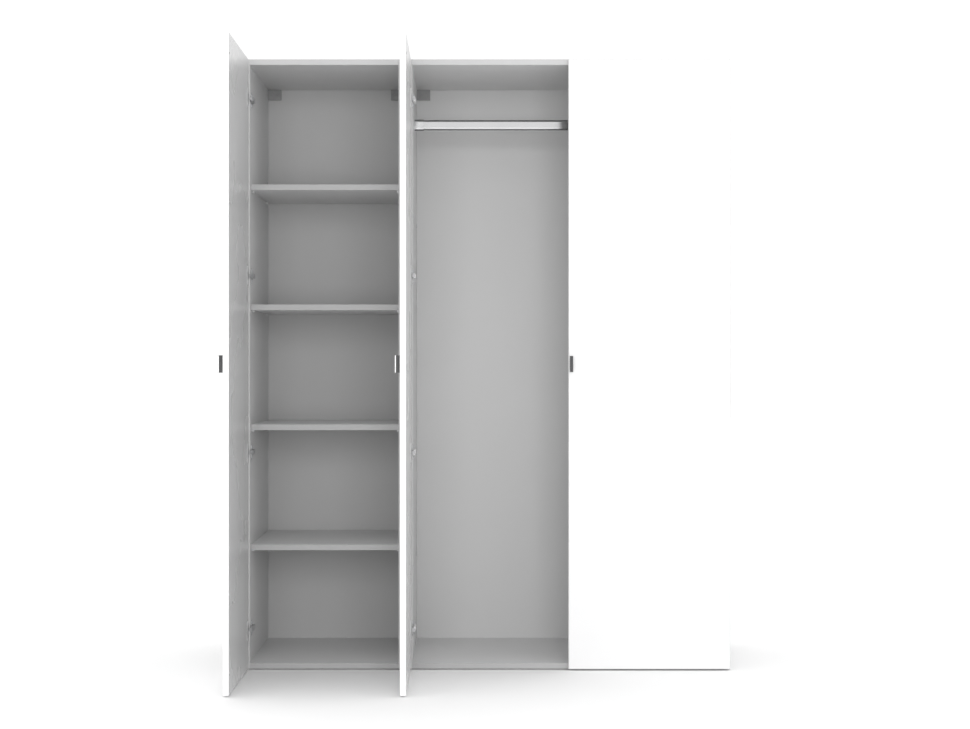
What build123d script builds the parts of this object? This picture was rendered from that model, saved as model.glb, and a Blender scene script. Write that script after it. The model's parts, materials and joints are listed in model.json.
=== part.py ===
from build123d import *
from math import cos, radians, sin
import os

# Three-door wardrobe: a single frame with shelves beside a double frame with a hanging rail.
# Origin: on the floor, at the middle of the carcass footprint. +Z up, the doors face -Y.
# Stored with the left and middle doors open and the right door closed.

# ---- driving sizes, millimetres ----
frame_pitch = 517.0            # outer width of one door's share of the carcass
carcass_height = 1941.0
carcass_depth = 592.0
side_thickness = 22.0
panel_thickness = 18.0         # tops, bottoms and shelves
edge_round = 0.8

back_thickness = 8.0
back_inset = 4.0               # rear of the back panel to the rear edge of the sides
groove_depth = 7.0
groove_end_gap = 0.5           # back panel edge to the floor of its groove

glide_height = 3.0
glide_diameter = 20.0
glide_pin_diameter = 4.0
glide_pin_length = 12.0
glide_edge_distance = 40.0

shelf_count = 4
shelf_pitch = 384.0
first_shelf_top = 375.0        # above the bottom panel
shelf_setback = 28.0
shelf_side_gap = 0.5
shelf_back_gap = 1.0
support_pin_diameter = 5.0
support_pin_length = 9.0
support_size = (7.0, 12.0, 6.0)    # out from the side, along the depth, height
support_rows = (64.0, 500.0)       # depth from the front

# ---- doors and their hinges ----
door_thickness = 18.0
door_gap = 2.0                 # closed door to the carcass front
door_reveal = 1.5              # carcass or pitch line to the door edge, all round
door_round = 1.0
open_angle = 90.0              # stored pose of the left and middle doors
pivot_from_edge = 4.1          # swing axis, in from the hinge edge
pivot_from_face = 5.2          # swing axis, in from the outer face

hinge_count = 4
hinge_end_distance = 125.0     # outer hinges to the door's ends
cup_diameter = 35.0
cup_depth = 12.0
cup_wall = 1.0
cup_floor_gap = 0.6
cup_inset = 1.0                # cup centre, in from the side panel's inner face
flange_height = 60.0
flange_width = 26.0
flange_offset = 3.0            # flange middle, beyond the cup centre
flange_thickness = 1.5
flange_corner = 5.0
rim_width = 1.5
cup_screw_spacing = 48.0
cup_screw_offset = 6.0
cup_screw_diameter = 3.5
cup_screw_head = 7.0
cup_screw_head_depth = 1.0
cup_screw_length = 12.0

nose_from_cup = 5.0            # arm pin, beyond the cup centre
nose_depth = 2.0               # arm pin, inside the closed door's inner face
nose_radius = 3.0
nose_height = 14.0
arm_pin_radius = 1.2
pin_clearance = 0.05
link_length = 8.0
link_height = 8.4
link_gap = 0.3                 # link to the nose cheeks
link_eye = 2.8
link_tip = 1.6
link_tip_hole = 0.8
link_closed_angle = 185.0
link_ratio = 0.39              # link turn for each degree of door turn

plate_height = 50.0
plate_width = 20.0
plate_thickness = 2.0
plate_corner = 6.0
plate_row = 37.0               # screw row, behind the carcass front
plate_screw_spacing = 32.0
plate_screw_diameter = 5.0
plate_screw_head = 8.0
plate_screw_head_height = 1.5
plate_screw_length = 13.0
ridge_height = 14.0
ridge_span = (20.0, 62.0)
ridge_rise = 4.0
arm_height = 16.0
arm_span = (6.0, 66.0)
arm_rise = 6.0
arm_round = 2.0
adjuster_diameter = 7.0
adjuster_depth = 2.5
adjuster_slot = (1.0, 0.8)
adjuster_rows = (26.0, 52.0)

# ---- handles ----
handle_length = 51.0
handle_edge_distance = 3.5
handle_width = 10.5
handle_projection = 15.0
handle_lip = 4.0
handle_web = 5.0
handle_round = 1.2
handle_screw_spacing = 32.0
handle_screw_diameter = 3.0
handle_screw_grip = 9.0
handle_screw_head = 7.0
handle_screw_head_depth = 3.0
handle_screw_head_height = 2.0

bumper_diameter = 8.0
bumper_height = 1.5
bumper_taper = 20.0            # degrees
bumper_edge_distance = 11.0
bumper_end_distance = 60.0

# ---- fittings inside the carcass ----
rail_height = 34.0
rail_width = 17.0
rail_wall = 1.2
rail_drop = 157.0              # top panel's underside to the rail's middle
bracket_length = 30.0
bracket_wall = 1.6
bracket_base = 2.5
bracket_screw_spacing = 16.0
bracket_screw_diameter = 4.0
bracket_screw_head = 8.0
bracket_screw_head_height = 1.5
bracket_screw_length = 16.0
rail_end_gap = 0.5

hanger_width = 46.0
hanger_height = 35.0
hanger_depth = 16.0
hanger_round = 1.5
hanger_top_gap = 0.5
hanger_screw_diameter = 6.0
hanger_screw_recess = 3.0
hanger_screw_head_height = 2.0
hanger_screw_spacing = 20.0
hook_width = 22.0
hook_neck_height = 6.0
hook_height = 26.0
hook_thickness = 3.0

cam_diameter = 15.0
cam_height = 13.0
cam_bore_depth = 13.5
cam_distance = 34.0            # cam centre to the panel's end
cam_bolt_diameter = 6.0
cam_bolt_head = 7.0
cam_bolt_head_length = 3.0
cam_bolt_bore = 7.4
cam_bolt_grip = 11.0           # in the side panel
dowel_diameter = 8.0
dowel_length = 34.0
dowel_grip = 11.0              # in the side panel
dowel_end_gap = 0.5
cam_edge_distance = 60.0
dowel_edge_distance = 130.0

connector_heights = (320.0, 1450.0)
connector_edge_distance = 60.0
connector_head = 16.0
connector_head_height = 1.5
sleeve_diameter = 8.0
sleeve_length = 36.0
connector_screw_diameter = 5.0
connector_screw_length = 30.0

# ---- places worked out from the sizes above ----
total_width = 3 * frame_pitch
left_x = -total_width / 2
joint_x = left_x + frame_pitch
right_x = total_width / 2
front_y = -carcass_depth / 2
rear_y = carcass_depth / 2
low_z = glide_height
high_z = low_z + carcass_height
floor_z = low_z + panel_thickness
ceiling_z = high_z - panel_thickness
inner_depth = carcass_depth - back_inset - back_thickness

door_width = frame_pitch - 2 * door_reveal
door_height = carcass_height - 2 * door_reveal
door_low_z = low_z + door_reveal
door_middle_z = door_low_z + door_height / 2
hinge_step = (door_height - 2 * hinge_end_distance) / (hinge_count - 1)
hinge_heights = [door_low_z + hinge_end_distance + i * hinge_step for i in range(hinge_count)]
shelf_tops = [floor_z + first_shelf_top + i * shelf_pitch for i in range(shelf_count)]

# Across the hinge, u runs in from the frame's outer side and w in from the carcass front.
pivot_u = door_reveal + pivot_from_edge
pivot_w = -(door_gap + door_thickness - pivot_from_face)
cup_u = side_thickness + cup_inset
pin_u = cup_u + nose_from_cup
pin_w = -(door_gap + nose_depth)
# On a door, widths run from the swing axis and depths from the same axis towards the inside.
door_edge = door_reveal - pivot_u
door_outer = -pivot_from_face
door_inner = door_thickness - pivot_from_face
cup_on_door = cup_u - pivot_u

# name, outer side of its frame, +1 hinged on the left or -1 on the right, stored opening
doors = [
    ("left", left_x, 1, open_angle),
    ("middle", joint_x, 1, open_angle),
    ("right", right_x, -1, 0.0),
]
# name, outer faces of its two sides
frames = [("left_frame", left_x, joint_x), ("right_frame", joint_x, right_x)]
cam_rows = (cam_edge_distance, inner_depth - cam_edge_distance)
dowel_rows = (dowel_edge_distance, inner_depth - dowel_edge_distance)
connector_rows = (connector_edge_distance, inner_depth - connector_edge_distance)
panel_middles = (low_z + panel_thickness / 2, high_z - panel_thickness / 2)
rail_z = ceiling_z - rail_drop
rail_row = inner_depth / 2

os.makedirs("parts", exist_ok=True)


def facing_front(x, y, z):
    """Upright plane seen from the front: local x runs right, local y up."""
    return Plane(origin=(x, y, z), x_dir=(1, 0, 0), z_dir=(0, -1, 0))


def upright(x):
    """Plane across the wardrobe: local x is the depth from the front, local y the height."""
    return Plane(origin=(x, front_y, 0), x_dir=(0, 1, 0), z_dir=(1, 0, 0))


def hinge_plane(side_x, hand, z):
    """Level plane at a frame's outer side: local x runs in across the frame."""
    return Plane(origin=(side_x, front_y, z), x_dir=(hand, 0, 0), z_dir=(0, 0, 1))


def door_plane(side_x, hand, opening, z):
    """Level plane at a door's swing axis, turned with the door."""
    turn = radians(opening)
    origin = (side_x + hand * pivot_u, front_y + pivot_w, z)
    return Plane(origin=origin, x_dir=(hand * cos(turn), -sin(turn), 0), z_dir=(0, 0, 1))


def door_face(side_x, hand, opening, depth):
    """Plane in a door, parallel to its faces: local x across the door, local y up, normal inwards."""
    turn = radians(opening)
    inward = (hand * sin(turn), cos(turn), 0)
    start = door_plane(side_x, hand, opening, 0).from_local_coords((0, hand * depth, 0))
    return Plane(origin=start, x_dir=(hand * cos(turn), -sin(turn), 0), z_dir=inward)


def on_face(hand, u, z):
    """Local place on a door face: the plane's y turns over with the hand of the door."""
    return (u, -hand * z)


def save(built, name):
    built.part.label = name
    export_step(built.part, f"parts/{name}.step")


# ---- side panels ----
def side_panel(outer_x, hand, hinged, holds_shelves, holds_rail, joined):
    inner_x = outer_x + hand * side_thickness
    with BuildPart() as side:
        with BuildSketch(upright(outer_x)):
            with Locations((carcass_depth / 2, low_z + carcass_height / 2)):
                Rectangle(carcass_depth, carcass_height)
        extrude(amount=hand * side_thickness)
        fillet(side.edges().filter_by(Axis.Z).group_by(Axis.Y)[0], radius=edge_round)
        with BuildSketch(upright(inner_x)):
            with Locations((inner_depth + back_thickness / 2, low_z + carcass_height / 2)):
                Rectangle(back_thickness, carcass_height)
        extrude(amount=-hand * groove_depth, mode=Mode.SUBTRACT)
        with BuildSketch(upright(inner_x)):
            with Locations([(row, z) for row in cam_rows for z in panel_middles]):
                Circle(cam_bolt_diameter / 2)
        extrude(amount=-hand * cam_bolt_grip, mode=Mode.SUBTRACT)
        with BuildSketch(upright(inner_x)):
            with Locations([(row, z) for row in dowel_rows for z in panel_middles]):
                Circle(dowel_diameter / 2)
        extrude(amount=-hand * (dowel_grip + dowel_end_gap), mode=Mode.SUBTRACT)
        glide_places = [
            (outer_x + hand * side_thickness / 2, front_y + glide_edge_distance),
            (outer_x + hand * side_thickness / 2, rear_y - glide_edge_distance),
        ]
        with BuildSketch(Plane.XY.offset(low_z)):
            with Locations(glide_places):
                Circle(glide_pin_diameter / 2)
        extrude(amount=glide_pin_length, mode=Mode.SUBTRACT)
        if hinged:
            with BuildSketch(upright(inner_x)):
                with Locations([(plate_row, z) for z in hinge_heights]):
                    with GridLocations(0, plate_screw_spacing, 1, 2):
                        Circle(plate_screw_diameter / 2)
            extrude(amount=-hand * (plate_screw_length - plate_thickness), mode=Mode.SUBTRACT)
        if holds_shelves:
            with BuildSketch(upright(inner_x)):
                with Locations([(row, support_z(top)) for row in support_rows for top in shelf_tops]):
                    Circle(support_pin_diameter / 2)
            extrude(amount=-hand * support_pin_length, mode=Mode.SUBTRACT)
        if holds_rail:
            with BuildSketch(upright(inner_x)):
                with Locations((rail_row, rail_z)):
                    with GridLocations(0, bracket_screw_spacing, 1, 2):
                        Circle(bracket_screw_diameter / 2)
            extrude(amount=-hand * (bracket_screw_length - bracket_base), mode=Mode.SUBTRACT)
        if joined:
            with BuildSketch(upright(inner_x)):
                with Locations([(row, z) for row in connector_rows for z in connector_heights]):
                    Circle(sleeve_diameter / 2)
            extrude(amount=-hand * side_thickness, mode=Mode.SUBTRACT)
    return side


def support_z(shelf_top):
    """Height of a support's pin, halfway up the support that carries the shelf."""
    return shelf_top - panel_thickness - support_size[2] / 2


save(side_panel(left_x, 1, True, True, False, False), "left_frame_left_side")
save(side_panel(joint_x, -1, False, True, False, True), "left_frame_right_side")
save(side_panel(joint_x, 1, True, False, True, True), "right_frame_left_side")
save(side_panel(right_x, -1, True, False, True, False), "right_frame_right_side")


# ---- tops and bottoms, held between the sides ----
def level_panel(x_from, x_to, z, cam_face_z, cam_up, groove_z, groove_up, glides):
    """A top or bottom: cams open on its hidden face and the back's groove on its inner face."""
    middle_x = (x_from + x_to) / 2
    width = x_to - x_from
    middle_z = z + panel_thickness / 2
    cam_reach = width / 2 - cam_distance
    with BuildPart() as panel:
        with BuildSketch(Plane.XY.offset(z)):
            with Locations((middle_x, 0)):
                Rectangle(width, carcass_depth)
        extrude(amount=panel_thickness)
        fillet(panel.edges().filter_by(Axis.X).group_by(Axis.Y)[0], radius=edge_round)
        with BuildSketch(Plane.XY.offset(groove_z)):
            with Locations((middle_x, front_y + inner_depth + back_thickness / 2)):
                Rectangle(width, back_thickness)
        extrude(amount=groove_up * groove_depth, mode=Mode.SUBTRACT)
        with BuildSketch(Plane.XY.offset(cam_face_z)):
            cam_middles = [(middle_x + end * cam_reach, front_y + row) for end in (-1, 1) for row in cam_rows]
            with Locations(cam_middles):
                Circle(cam_diameter / 2)
        extrude(amount=cam_up * cam_bore_depth, mode=Mode.SUBTRACT)
        for end_x, inward in ((x_from, 1), (x_to, -1)):
            with BuildSketch(upright(end_x)):
                with Locations([(row, middle_z) for row in cam_rows]):
                    Circle(cam_bolt_bore / 2)
            extrude(amount=inward * cam_distance, mode=Mode.SUBTRACT)
            with BuildSketch(upright(end_x)):
                with Locations([(row, middle_z) for row in dowel_rows]):
                    Circle(dowel_diameter / 2)
            extrude(amount=inward * (dowel_length - dowel_grip + dowel_end_gap), mode=Mode.SUBTRACT)
        if glides:
            with BuildSketch(Plane.XY.offset(z)):
                with Locations(glides):
                    Circle(glide_pin_diameter / 2)
            extrude(amount=glide_pin_length, mode=Mode.SUBTRACT)
    return panel


middle_glides = [
    ((joint_x + right_x) / 2, front_y + glide_edge_distance),
    ((joint_x + right_x) / 2, rear_y - glide_edge_distance),
]
for name, x_from, x_to in frames:
    inner_from = x_from + side_thickness
    inner_to = x_to - side_thickness
    top = level_panel(inner_from, inner_to, ceiling_z, high_z, -1, ceiling_z, 1, [])
    save(top, f"{name}_top")
    under = middle_glides if name == "right_frame" else []
    bottom = level_panel(inner_from, inner_to, low_z, low_z, 1, floor_z, -1, under)
    save(bottom, f"{name}_bottom")

# ---- hangers: a cover in each top corner, a hook through the back panel ----
hanger_low_z = ceiling_z - hanger_top_gap - hanger_height
hook_middle_z = hanger_low_z + hanger_height / 2
hanger_middles = []
for name, x_from, x_to in frames:
    hanger_middles.append(x_from + side_thickness + hanger_width / 2)
    hanger_middles.append(x_to - side_thickness - hanger_width / 2)
hanger_front_y = front_y + inner_depth - hanger_depth
hanger_screw_top_y = hanger_front_y + hanger_screw_recess - hanger_screw_head_height
back_face = facing_front(0, front_y + inner_depth, 0)

# ---- back panels, in grooves all round ----
for frame_index, (name, x_from, x_to) in enumerate(frames):
    back_width = x_to - x_from - 2 * side_thickness + 2 * (groove_depth - groove_end_gap)
    back_height = ceiling_z - floor_z + 2 * (groove_depth - groove_end_gap)
    with BuildPart() as back:
        with BuildSketch(back_face):
            with Locations(((x_from + x_to) / 2, (floor_z + ceiling_z) / 2)):
                Rectangle(back_width, back_height)
            with Locations([(x, hook_middle_z) for x in hanger_middles[2 * frame_index:2 * frame_index + 2]]):
                Rectangle(hook_width, hook_neck_height, mode=Mode.SUBTRACT)
        extrude(amount=-back_thickness)
    save(back, f"{name}_back")

for index, x in enumerate(hanger_middles):
    with BuildPart() as hanger:
        with BuildSketch(Plane.XY.offset(hanger_low_z)):
            with Locations((x, hanger_front_y + hanger_depth / 2)):
                Rectangle(hanger_width, hanger_depth)
        extrude(amount=hanger_height)
        fillet(hanger.faces().sort_by(Axis.Y)[0].edges(), radius=hanger_round)
        with BuildSketch(facing_front(x, hanger_front_y, hook_middle_z)):
            with GridLocations(hanger_screw_spacing, 0, 2, 1):
                Circle(hanger_screw_diameter / 2)
        extrude(amount=-hanger_screw_recess, mode=Mode.SUBTRACT)
    save(hanger, f"wall_hanger_{index + 1}")

with BuildPart() as hooks:
    with BuildSketch(back_face):
        with Locations([(x, hook_middle_z) for x in hanger_middles]):
            Rectangle(hook_width, hook_neck_height)
    extrude(amount=-back_thickness)
    with BuildSketch(back_face.offset(-back_thickness)):
        with Locations([(x, hook_middle_z) for x in hanger_middles]):
            Rectangle(hook_width, hook_height)
    extrude(amount=-hook_thickness)
save(hooks, "wall_hanger_hooks")

with BuildPart() as hanger_screws:
    with BuildSketch(facing_front(0, hanger_front_y + hanger_screw_recess, hook_middle_z)):
        with Locations([(x, 0) for x in hanger_middles]):
            with GridLocations(hanger_screw_spacing, 0, 2, 1):
                Circle(hanger_screw_diameter / 2)
    extrude(amount=hanger_screw_head_height)
    with BuildSketch(facing_front(0, hanger_screw_top_y, hook_middle_z)):
        with Locations([(x, 0) for x in hanger_middles]):
            with GridLocations(hanger_screw_spacing, 0, 2, 1):
                Rectangle(hanger_screw_diameter, adjuster_slot[0])
                Rectangle(adjuster_slot[0], hanger_screw_diameter)
    extrude(amount=-adjuster_slot[1], mode=Mode.SUBTRACT)
save(hanger_screws, "wall_hanger_screws")

# ---- shelves and their supports ----
shelf_from = left_x + side_thickness + shelf_side_gap
shelf_to = joint_x - side_thickness - shelf_side_gap
shelf_depth = inner_depth - shelf_setback - shelf_back_gap
for index, top_z in enumerate(shelf_tops):
    with BuildPart() as shelf:
        with BuildSketch(Plane.XY.offset(top_z - panel_thickness)):
            with Locations(((shelf_from + shelf_to) / 2, front_y + shelf_setback + shelf_depth / 2)):
                Rectangle(shelf_to - shelf_from, shelf_depth)
        extrude(amount=panel_thickness)
        fillet(shelf.edges().filter_by(Axis.X).group_by(Axis.Y)[0], radius=edge_round)
    save(shelf, f"shelf_{index + 1}")

with BuildPart() as shelf_supports:
    for face_x, out in ((left_x + side_thickness, 1), (joint_x - side_thickness, -1)):
        places = [(row, support_z(top)) for row in support_rows for top in shelf_tops]
        with BuildSketch(upright(face_x)):
            with Locations(places):
                Rectangle(support_size[1], support_size[2])
        extrude(amount=out * support_size[0])
        with BuildSketch(upright(face_x)):
            with Locations(places):
                Circle(support_pin_diameter / 2)
        extrude(amount=-out * support_pin_length)
save(shelf_supports, "shelf_supports")

# ---- hanging rail between its two brackets ----
rail_from = joint_x + side_thickness + bracket_base + rail_end_gap
rail_to = right_x - side_thickness - bracket_base - rail_end_gap


with BuildPart() as hanging_rail:
    with BuildSketch(upright(rail_from)):
        with Locations((rail_row, rail_z)):
            SlotOverall(rail_height, rail_width, rotation=90)
    extrude(amount=rail_to - rail_from)
    with BuildSketch(upright(rail_from)):
        with Locations((rail_row, rail_z)):
            SlotOverall(rail_height - 2 * rail_wall, rail_width - 2 * rail_wall, rotation=90)
    extrude(amount=rail_to - rail_from, mode=Mode.SUBTRACT)
save(hanging_rail, "hanging_rail")

rail_ends = [
    ("rail_bracket_left", joint_x + side_thickness, 1),
    ("rail_bracket_right", right_x - side_thickness, -1),
]
for name, face_x, out in rail_ends:
    with BuildPart() as bracket:
        with BuildSketch(upright(face_x)):
            with Locations((rail_row, rail_z)):
                SlotOverall(rail_height + 2 * bracket_wall, rail_width + 2 * bracket_wall, rotation=90)
                with GridLocations(0, bracket_screw_spacing, 1, 2):
                    Circle(bracket_screw_diameter / 2, mode=Mode.SUBTRACT)
        extrude(amount=out * bracket_base)
        with BuildSketch(upright(face_x + out * bracket_base)):
            with Locations((rail_row, rail_z)):
                SlotOverall(rail_height + 2 * bracket_wall, rail_width + 2 * bracket_wall, rotation=90)
                SlotOverall(rail_height, rail_width, rotation=90, mode=Mode.SUBTRACT)
        extrude(amount=out * (bracket_length - bracket_base))
    save(bracket, name)

with BuildPart() as rail_screws:
    for name, face_x, out in rail_ends:
        with BuildSketch(upright(face_x + out * bracket_base)):
            with Locations((rail_row, rail_z)):
                with GridLocations(0, bracket_screw_spacing, 1, 2):
                    Circle(bracket_screw_diameter / 2)
        extrude(amount=-out * bracket_screw_length)
        with BuildSketch(upright(face_x + out * bracket_base)):
            with Locations((rail_row, rail_z)):
                with GridLocations(0, bracket_screw_spacing, 1, 2):
                    Circle(bracket_screw_head / 2)
        extrude(amount=out * bracket_screw_head_height)
save(rail_screws, "rail_screws")

# ---- carcass fastenings ----
panel_ends = []
for name, x_from, x_to in frames:
    panel_ends.append((x_from + side_thickness, 1))
    panel_ends.append((x_to - side_thickness, -1))

with BuildPart() as dowels:
    for end_x, inward in panel_ends:
        with BuildSketch(upright(end_x - inward * dowel_grip)):
            with Locations([(row, z) for row in dowel_rows for z in panel_middles]):
                Circle(dowel_diameter / 2)
        extrude(amount=inward * dowel_length)
save(dowels, "dowels")

with BuildPart() as cam_bolts:
    for end_x, inward in panel_ends:
        places = [(row, z) for row in cam_rows for z in panel_middles]
        with BuildSketch(upright(end_x - inward * cam_bolt_grip)):
            with Locations(places):
                Circle(cam_bolt_diameter / 2)
        extrude(amount=inward * (cam_bolt_grip + cam_distance))
        with BuildSketch(upright(end_x + inward * cam_distance)):
            with Locations(places):
                Circle(cam_bolt_head / 2)
        extrude(amount=-inward * cam_bolt_head_length)
save(cam_bolts, "cam_bolts")

with BuildPart() as cam_locks:
    for face_z, into in ((high_z, -1), (low_z, 1)):
        with BuildSketch(Plane.XY.offset(face_z)):
            for end_x, inward in panel_ends:
                with Locations([(end_x + inward * cam_distance, front_y + row) for row in cam_rows]):
                    Circle(cam_diameter / 2)
        extrude(amount=into * cam_height)
    for end_x, inward in panel_ends:
        with BuildSketch(upright(end_x + inward * (cam_distance - cam_diameter / 2))):
            with Locations([(row, z) for row in cam_rows for z in panel_middles]):
                Circle(cam_bolt_bore / 2)
        extrude(amount=inward * cam_diameter / 2, mode=Mode.SUBTRACT)
save(cam_locks, "cam_locks")

connector_places = [(row, z) for row in connector_rows for z in connector_heights]
sleeve_x = joint_x - side_thickness
screw_x = joint_x + side_thickness
with BuildPart() as connector_sleeves:
    with BuildSketch(upright(sleeve_x)):
        with Locations(connector_places):
            Circle(sleeve_diameter / 2)
            Circle(connector_screw_diameter / 2, mode=Mode.SUBTRACT)
    extrude(amount=sleeve_length)
    with BuildSketch(upright(sleeve_x)):
        with Locations(connector_places):
            Circle(connector_head / 2)
    extrude(amount=-connector_head_height)
save(connector_sleeves, "frame_connector_sleeves")

with BuildPart() as connector_screws:
    with BuildSketch(upright(screw_x)):
        with Locations(connector_places):
            Circle(connector_screw_diameter / 2)
    extrude(amount=-connector_screw_length)
    with BuildSketch(upright(screw_x)):
        with Locations(connector_places):
            Circle(connector_head / 2)
    extrude(amount=connector_head_height)
save(connector_screws, "frame_connector_screws")

side_middles = [x - inward * side_thickness / 2 for x, inward in panel_ends]
glide_places = [(x, y * (rear_y - glide_edge_distance)) for x in side_middles for y in (-1, 1)]
glide_places += middle_glides
with BuildPart() as glides:
    with BuildSketch(Plane.XY):
        with Locations(glide_places):
            Circle(glide_diameter / 2)
    extrude(amount=glide_height)
    with BuildSketch(Plane.XY.offset(glide_height)):
        with Locations(glide_places):
            Circle(glide_pin_diameter / 2)
    extrude(amount=glide_pin_length)
save(glides, "glides")


# ---- doors ----
def door(side_x, hand, opening):
    free_edge = door_edge + door_width
    with BuildPart() as slab:
        with BuildSketch(door_plane(side_x, hand, opening, door_low_z)):
            with Locations(((door_edge + free_edge) / 2, hand * (door_outer + door_inner) / 2)):
                Rectangle(door_width, door_thickness)
        extrude(amount=door_height)
        fillet(slab.edges(), radius=door_round)
        with BuildSketch(door_face(side_x, hand, opening, door_inner)):
            with Locations([on_face(hand, cup_on_door, z) for z in hinge_heights]):
                Circle(cup_diameter / 2)
        extrude(amount=-(cup_depth + cup_floor_gap), mode=Mode.SUBTRACT)
        with BuildSketch(door_face(side_x, hand, opening, door_inner)):
            with Locations([on_face(hand, cup_on_door + cup_screw_offset, z) for z in hinge_heights]):
                with GridLocations(0, cup_screw_spacing, 1, 2):
                    Circle(cup_screw_diameter / 2)
        extrude(amount=-cup_screw_bite(), mode=Mode.SUBTRACT)
        with BuildSketch(door_face(side_x, hand, opening, door_inner)):
            with Locations(on_face(hand, handle_screw_u(), door_middle_z)):
                with GridLocations(0, handle_screw_spacing, 1, 2):
                    Circle(handle_screw_diameter / 2)
        extrude(amount=-door_thickness, mode=Mode.SUBTRACT)
        with BuildSketch(door_face(side_x, hand, opening, door_inner)):
            with Locations(on_face(hand, handle_screw_u(), door_middle_z)):
                with GridLocations(0, handle_screw_spacing, 1, 2):
                    Circle(handle_screw_head / 2)
        extrude(amount=-handle_screw_head_depth, mode=Mode.SUBTRACT)
    return slab


def cup_screw_bite():
    """Length of a cup screw inside the door."""
    return cup_screw_length - flange_thickness


def handle_screw_u():
    """Handle screws run into the middle of the handle's web."""
    return door_edge + door_width - handle_edge_distance - handle_width + handle_web / 2


def handle(side_x, hand, opening):
    """Angle profile: a web on the door's face and a lip that reaches towards the free edge."""
    web_u = door_edge + door_width - handle_edge_distance - handle_width
    low_z_handle = door_middle_z - handle_length / 2
    with BuildPart() as pull:
        with BuildSketch(door_plane(side_x, hand, opening, low_z_handle)):
            with Locations((web_u + handle_web / 2, hand * (door_outer - handle_projection / 2))):
                Rectangle(handle_web, handle_projection)
            lip_middle = door_outer - handle_projection + handle_lip / 2
            with Locations((web_u + handle_width / 2, hand * lip_middle)):
                Rectangle(handle_width, handle_lip)
        extrude(amount=handle_length)
        inward = door_face(side_x, hand, opening, 0).z_dir
        front_edges = pull.edges().group_by(Axis((0, 0, 0), inward))[0]
        fillet(front_edges, radius=handle_round)
        with BuildSketch(door_face(side_x, hand, opening, door_outer)):
            with Locations(on_face(hand, handle_screw_u(), door_middle_z)):
                with GridLocations(0, handle_screw_spacing, 1, 2):
                    Circle(handle_screw_diameter / 2)
        extrude(amount=-handle_screw_grip, mode=Mode.SUBTRACT)
    return pull


def door_screws(side_x, hand, opening):
    """Handle screws from inside the door, and two screws through each hinge cup's flange."""
    inner_face = door_face(side_x, hand, opening, door_inner)
    flange_face = door_face(side_x, hand, opening, door_inner + flange_thickness)
    with BuildPart() as screws:
        with BuildSketch(inner_face.offset(-handle_screw_head_depth)):
            with Locations(on_face(hand, handle_screw_u(), door_middle_z)):
                with GridLocations(0, handle_screw_spacing, 1, 2):
                    Circle(handle_screw_diameter / 2)
        extrude(amount=-(door_thickness - handle_screw_head_depth + handle_screw_grip))
        with BuildSketch(inner_face.offset(-handle_screw_head_depth)):
            with Locations(on_face(hand, handle_screw_u(), door_middle_z)):
                with GridLocations(0, handle_screw_spacing, 1, 2):
                    Circle(handle_screw_head / 2)
        extrude(amount=handle_screw_head_height)
        with BuildSketch(flange_face):
            with Locations([on_face(hand, cup_on_door + cup_screw_offset, z) for z in hinge_heights]):
                with GridLocations(0, cup_screw_spacing, 1, 2):
                    Circle(cup_screw_diameter / 2)
        extrude(amount=-cup_screw_length)
        with BuildSketch(flange_face):
            with Locations([on_face(hand, cup_on_door + cup_screw_offset, z) for z in hinge_heights]):
                with GridLocations(0, cup_screw_spacing, 1, 2):
                    Circle(cup_screw_head / 2)
        extrude(amount=-cup_screw_head_depth)
    return screws


def bumpers(side_x, hand, opening):
    """Clear pads near the door's free corners."""
    pad_u = door_edge + door_width - bumper_edge_distance
    pad_heights = (door_low_z + bumper_end_distance, door_low_z + door_height - bumper_end_distance)
    with BuildPart() as pads:
        with BuildSketch(door_face(side_x, hand, opening, door_inner)):
            with Locations([on_face(hand, pad_u, z) for z in pad_heights]):
                Circle(bumper_diameter / 2)
        extrude(amount=bumper_height, taper=bumper_taper)
    return pads


# ---- hinges ----
def hinge_cups(side_x, hand, opening):
    """Cup let into the door, with its screwed flange on the door's inner face."""
    inner_face = door_face(side_x, hand, opening, door_inner)
    cup_places = [on_face(hand, cup_on_door, z) for z in hinge_heights]
    screw_places = [on_face(hand, cup_on_door + cup_screw_offset, z) for z in hinge_heights]
    with BuildPart() as cups:
        with BuildSketch(inner_face):
            with Locations([on_face(hand, cup_on_door + flange_offset, z) for z in hinge_heights]):
                RectangleRounded(flange_width, flange_height, flange_corner)
            with Locations(cup_places):
                Circle(cup_diameter / 2 + rim_width)
        extrude(amount=flange_thickness)
        with BuildSketch(inner_face):
            with Locations(cup_places):
                Circle(cup_diameter / 2)
        extrude(amount=-cup_depth)
        with BuildSketch(inner_face.offset(flange_thickness)):
            with Locations(cup_places):
                Circle(cup_diameter / 2 - cup_wall)
        extrude(amount=-(flange_thickness + cup_depth - cup_wall), mode=Mode.SUBTRACT)
        with BuildSketch(inner_face.offset(flange_thickness)):
            with Locations(screw_places):
                with GridLocations(0, cup_screw_spacing, 1, 2):
                    Circle(cup_screw_head / 2)
        extrude(amount=-cup_screw_head_depth, mode=Mode.SUBTRACT)
        with BuildSketch(inner_face.offset(flange_thickness)):
            with Locations(screw_places):
                with GridLocations(0, cup_screw_spacing, 1, 2):
                    Circle(cup_screw_diameter / 2)
        extrude(amount=-flange_thickness, mode=Mode.SUBTRACT)
    return cups


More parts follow.
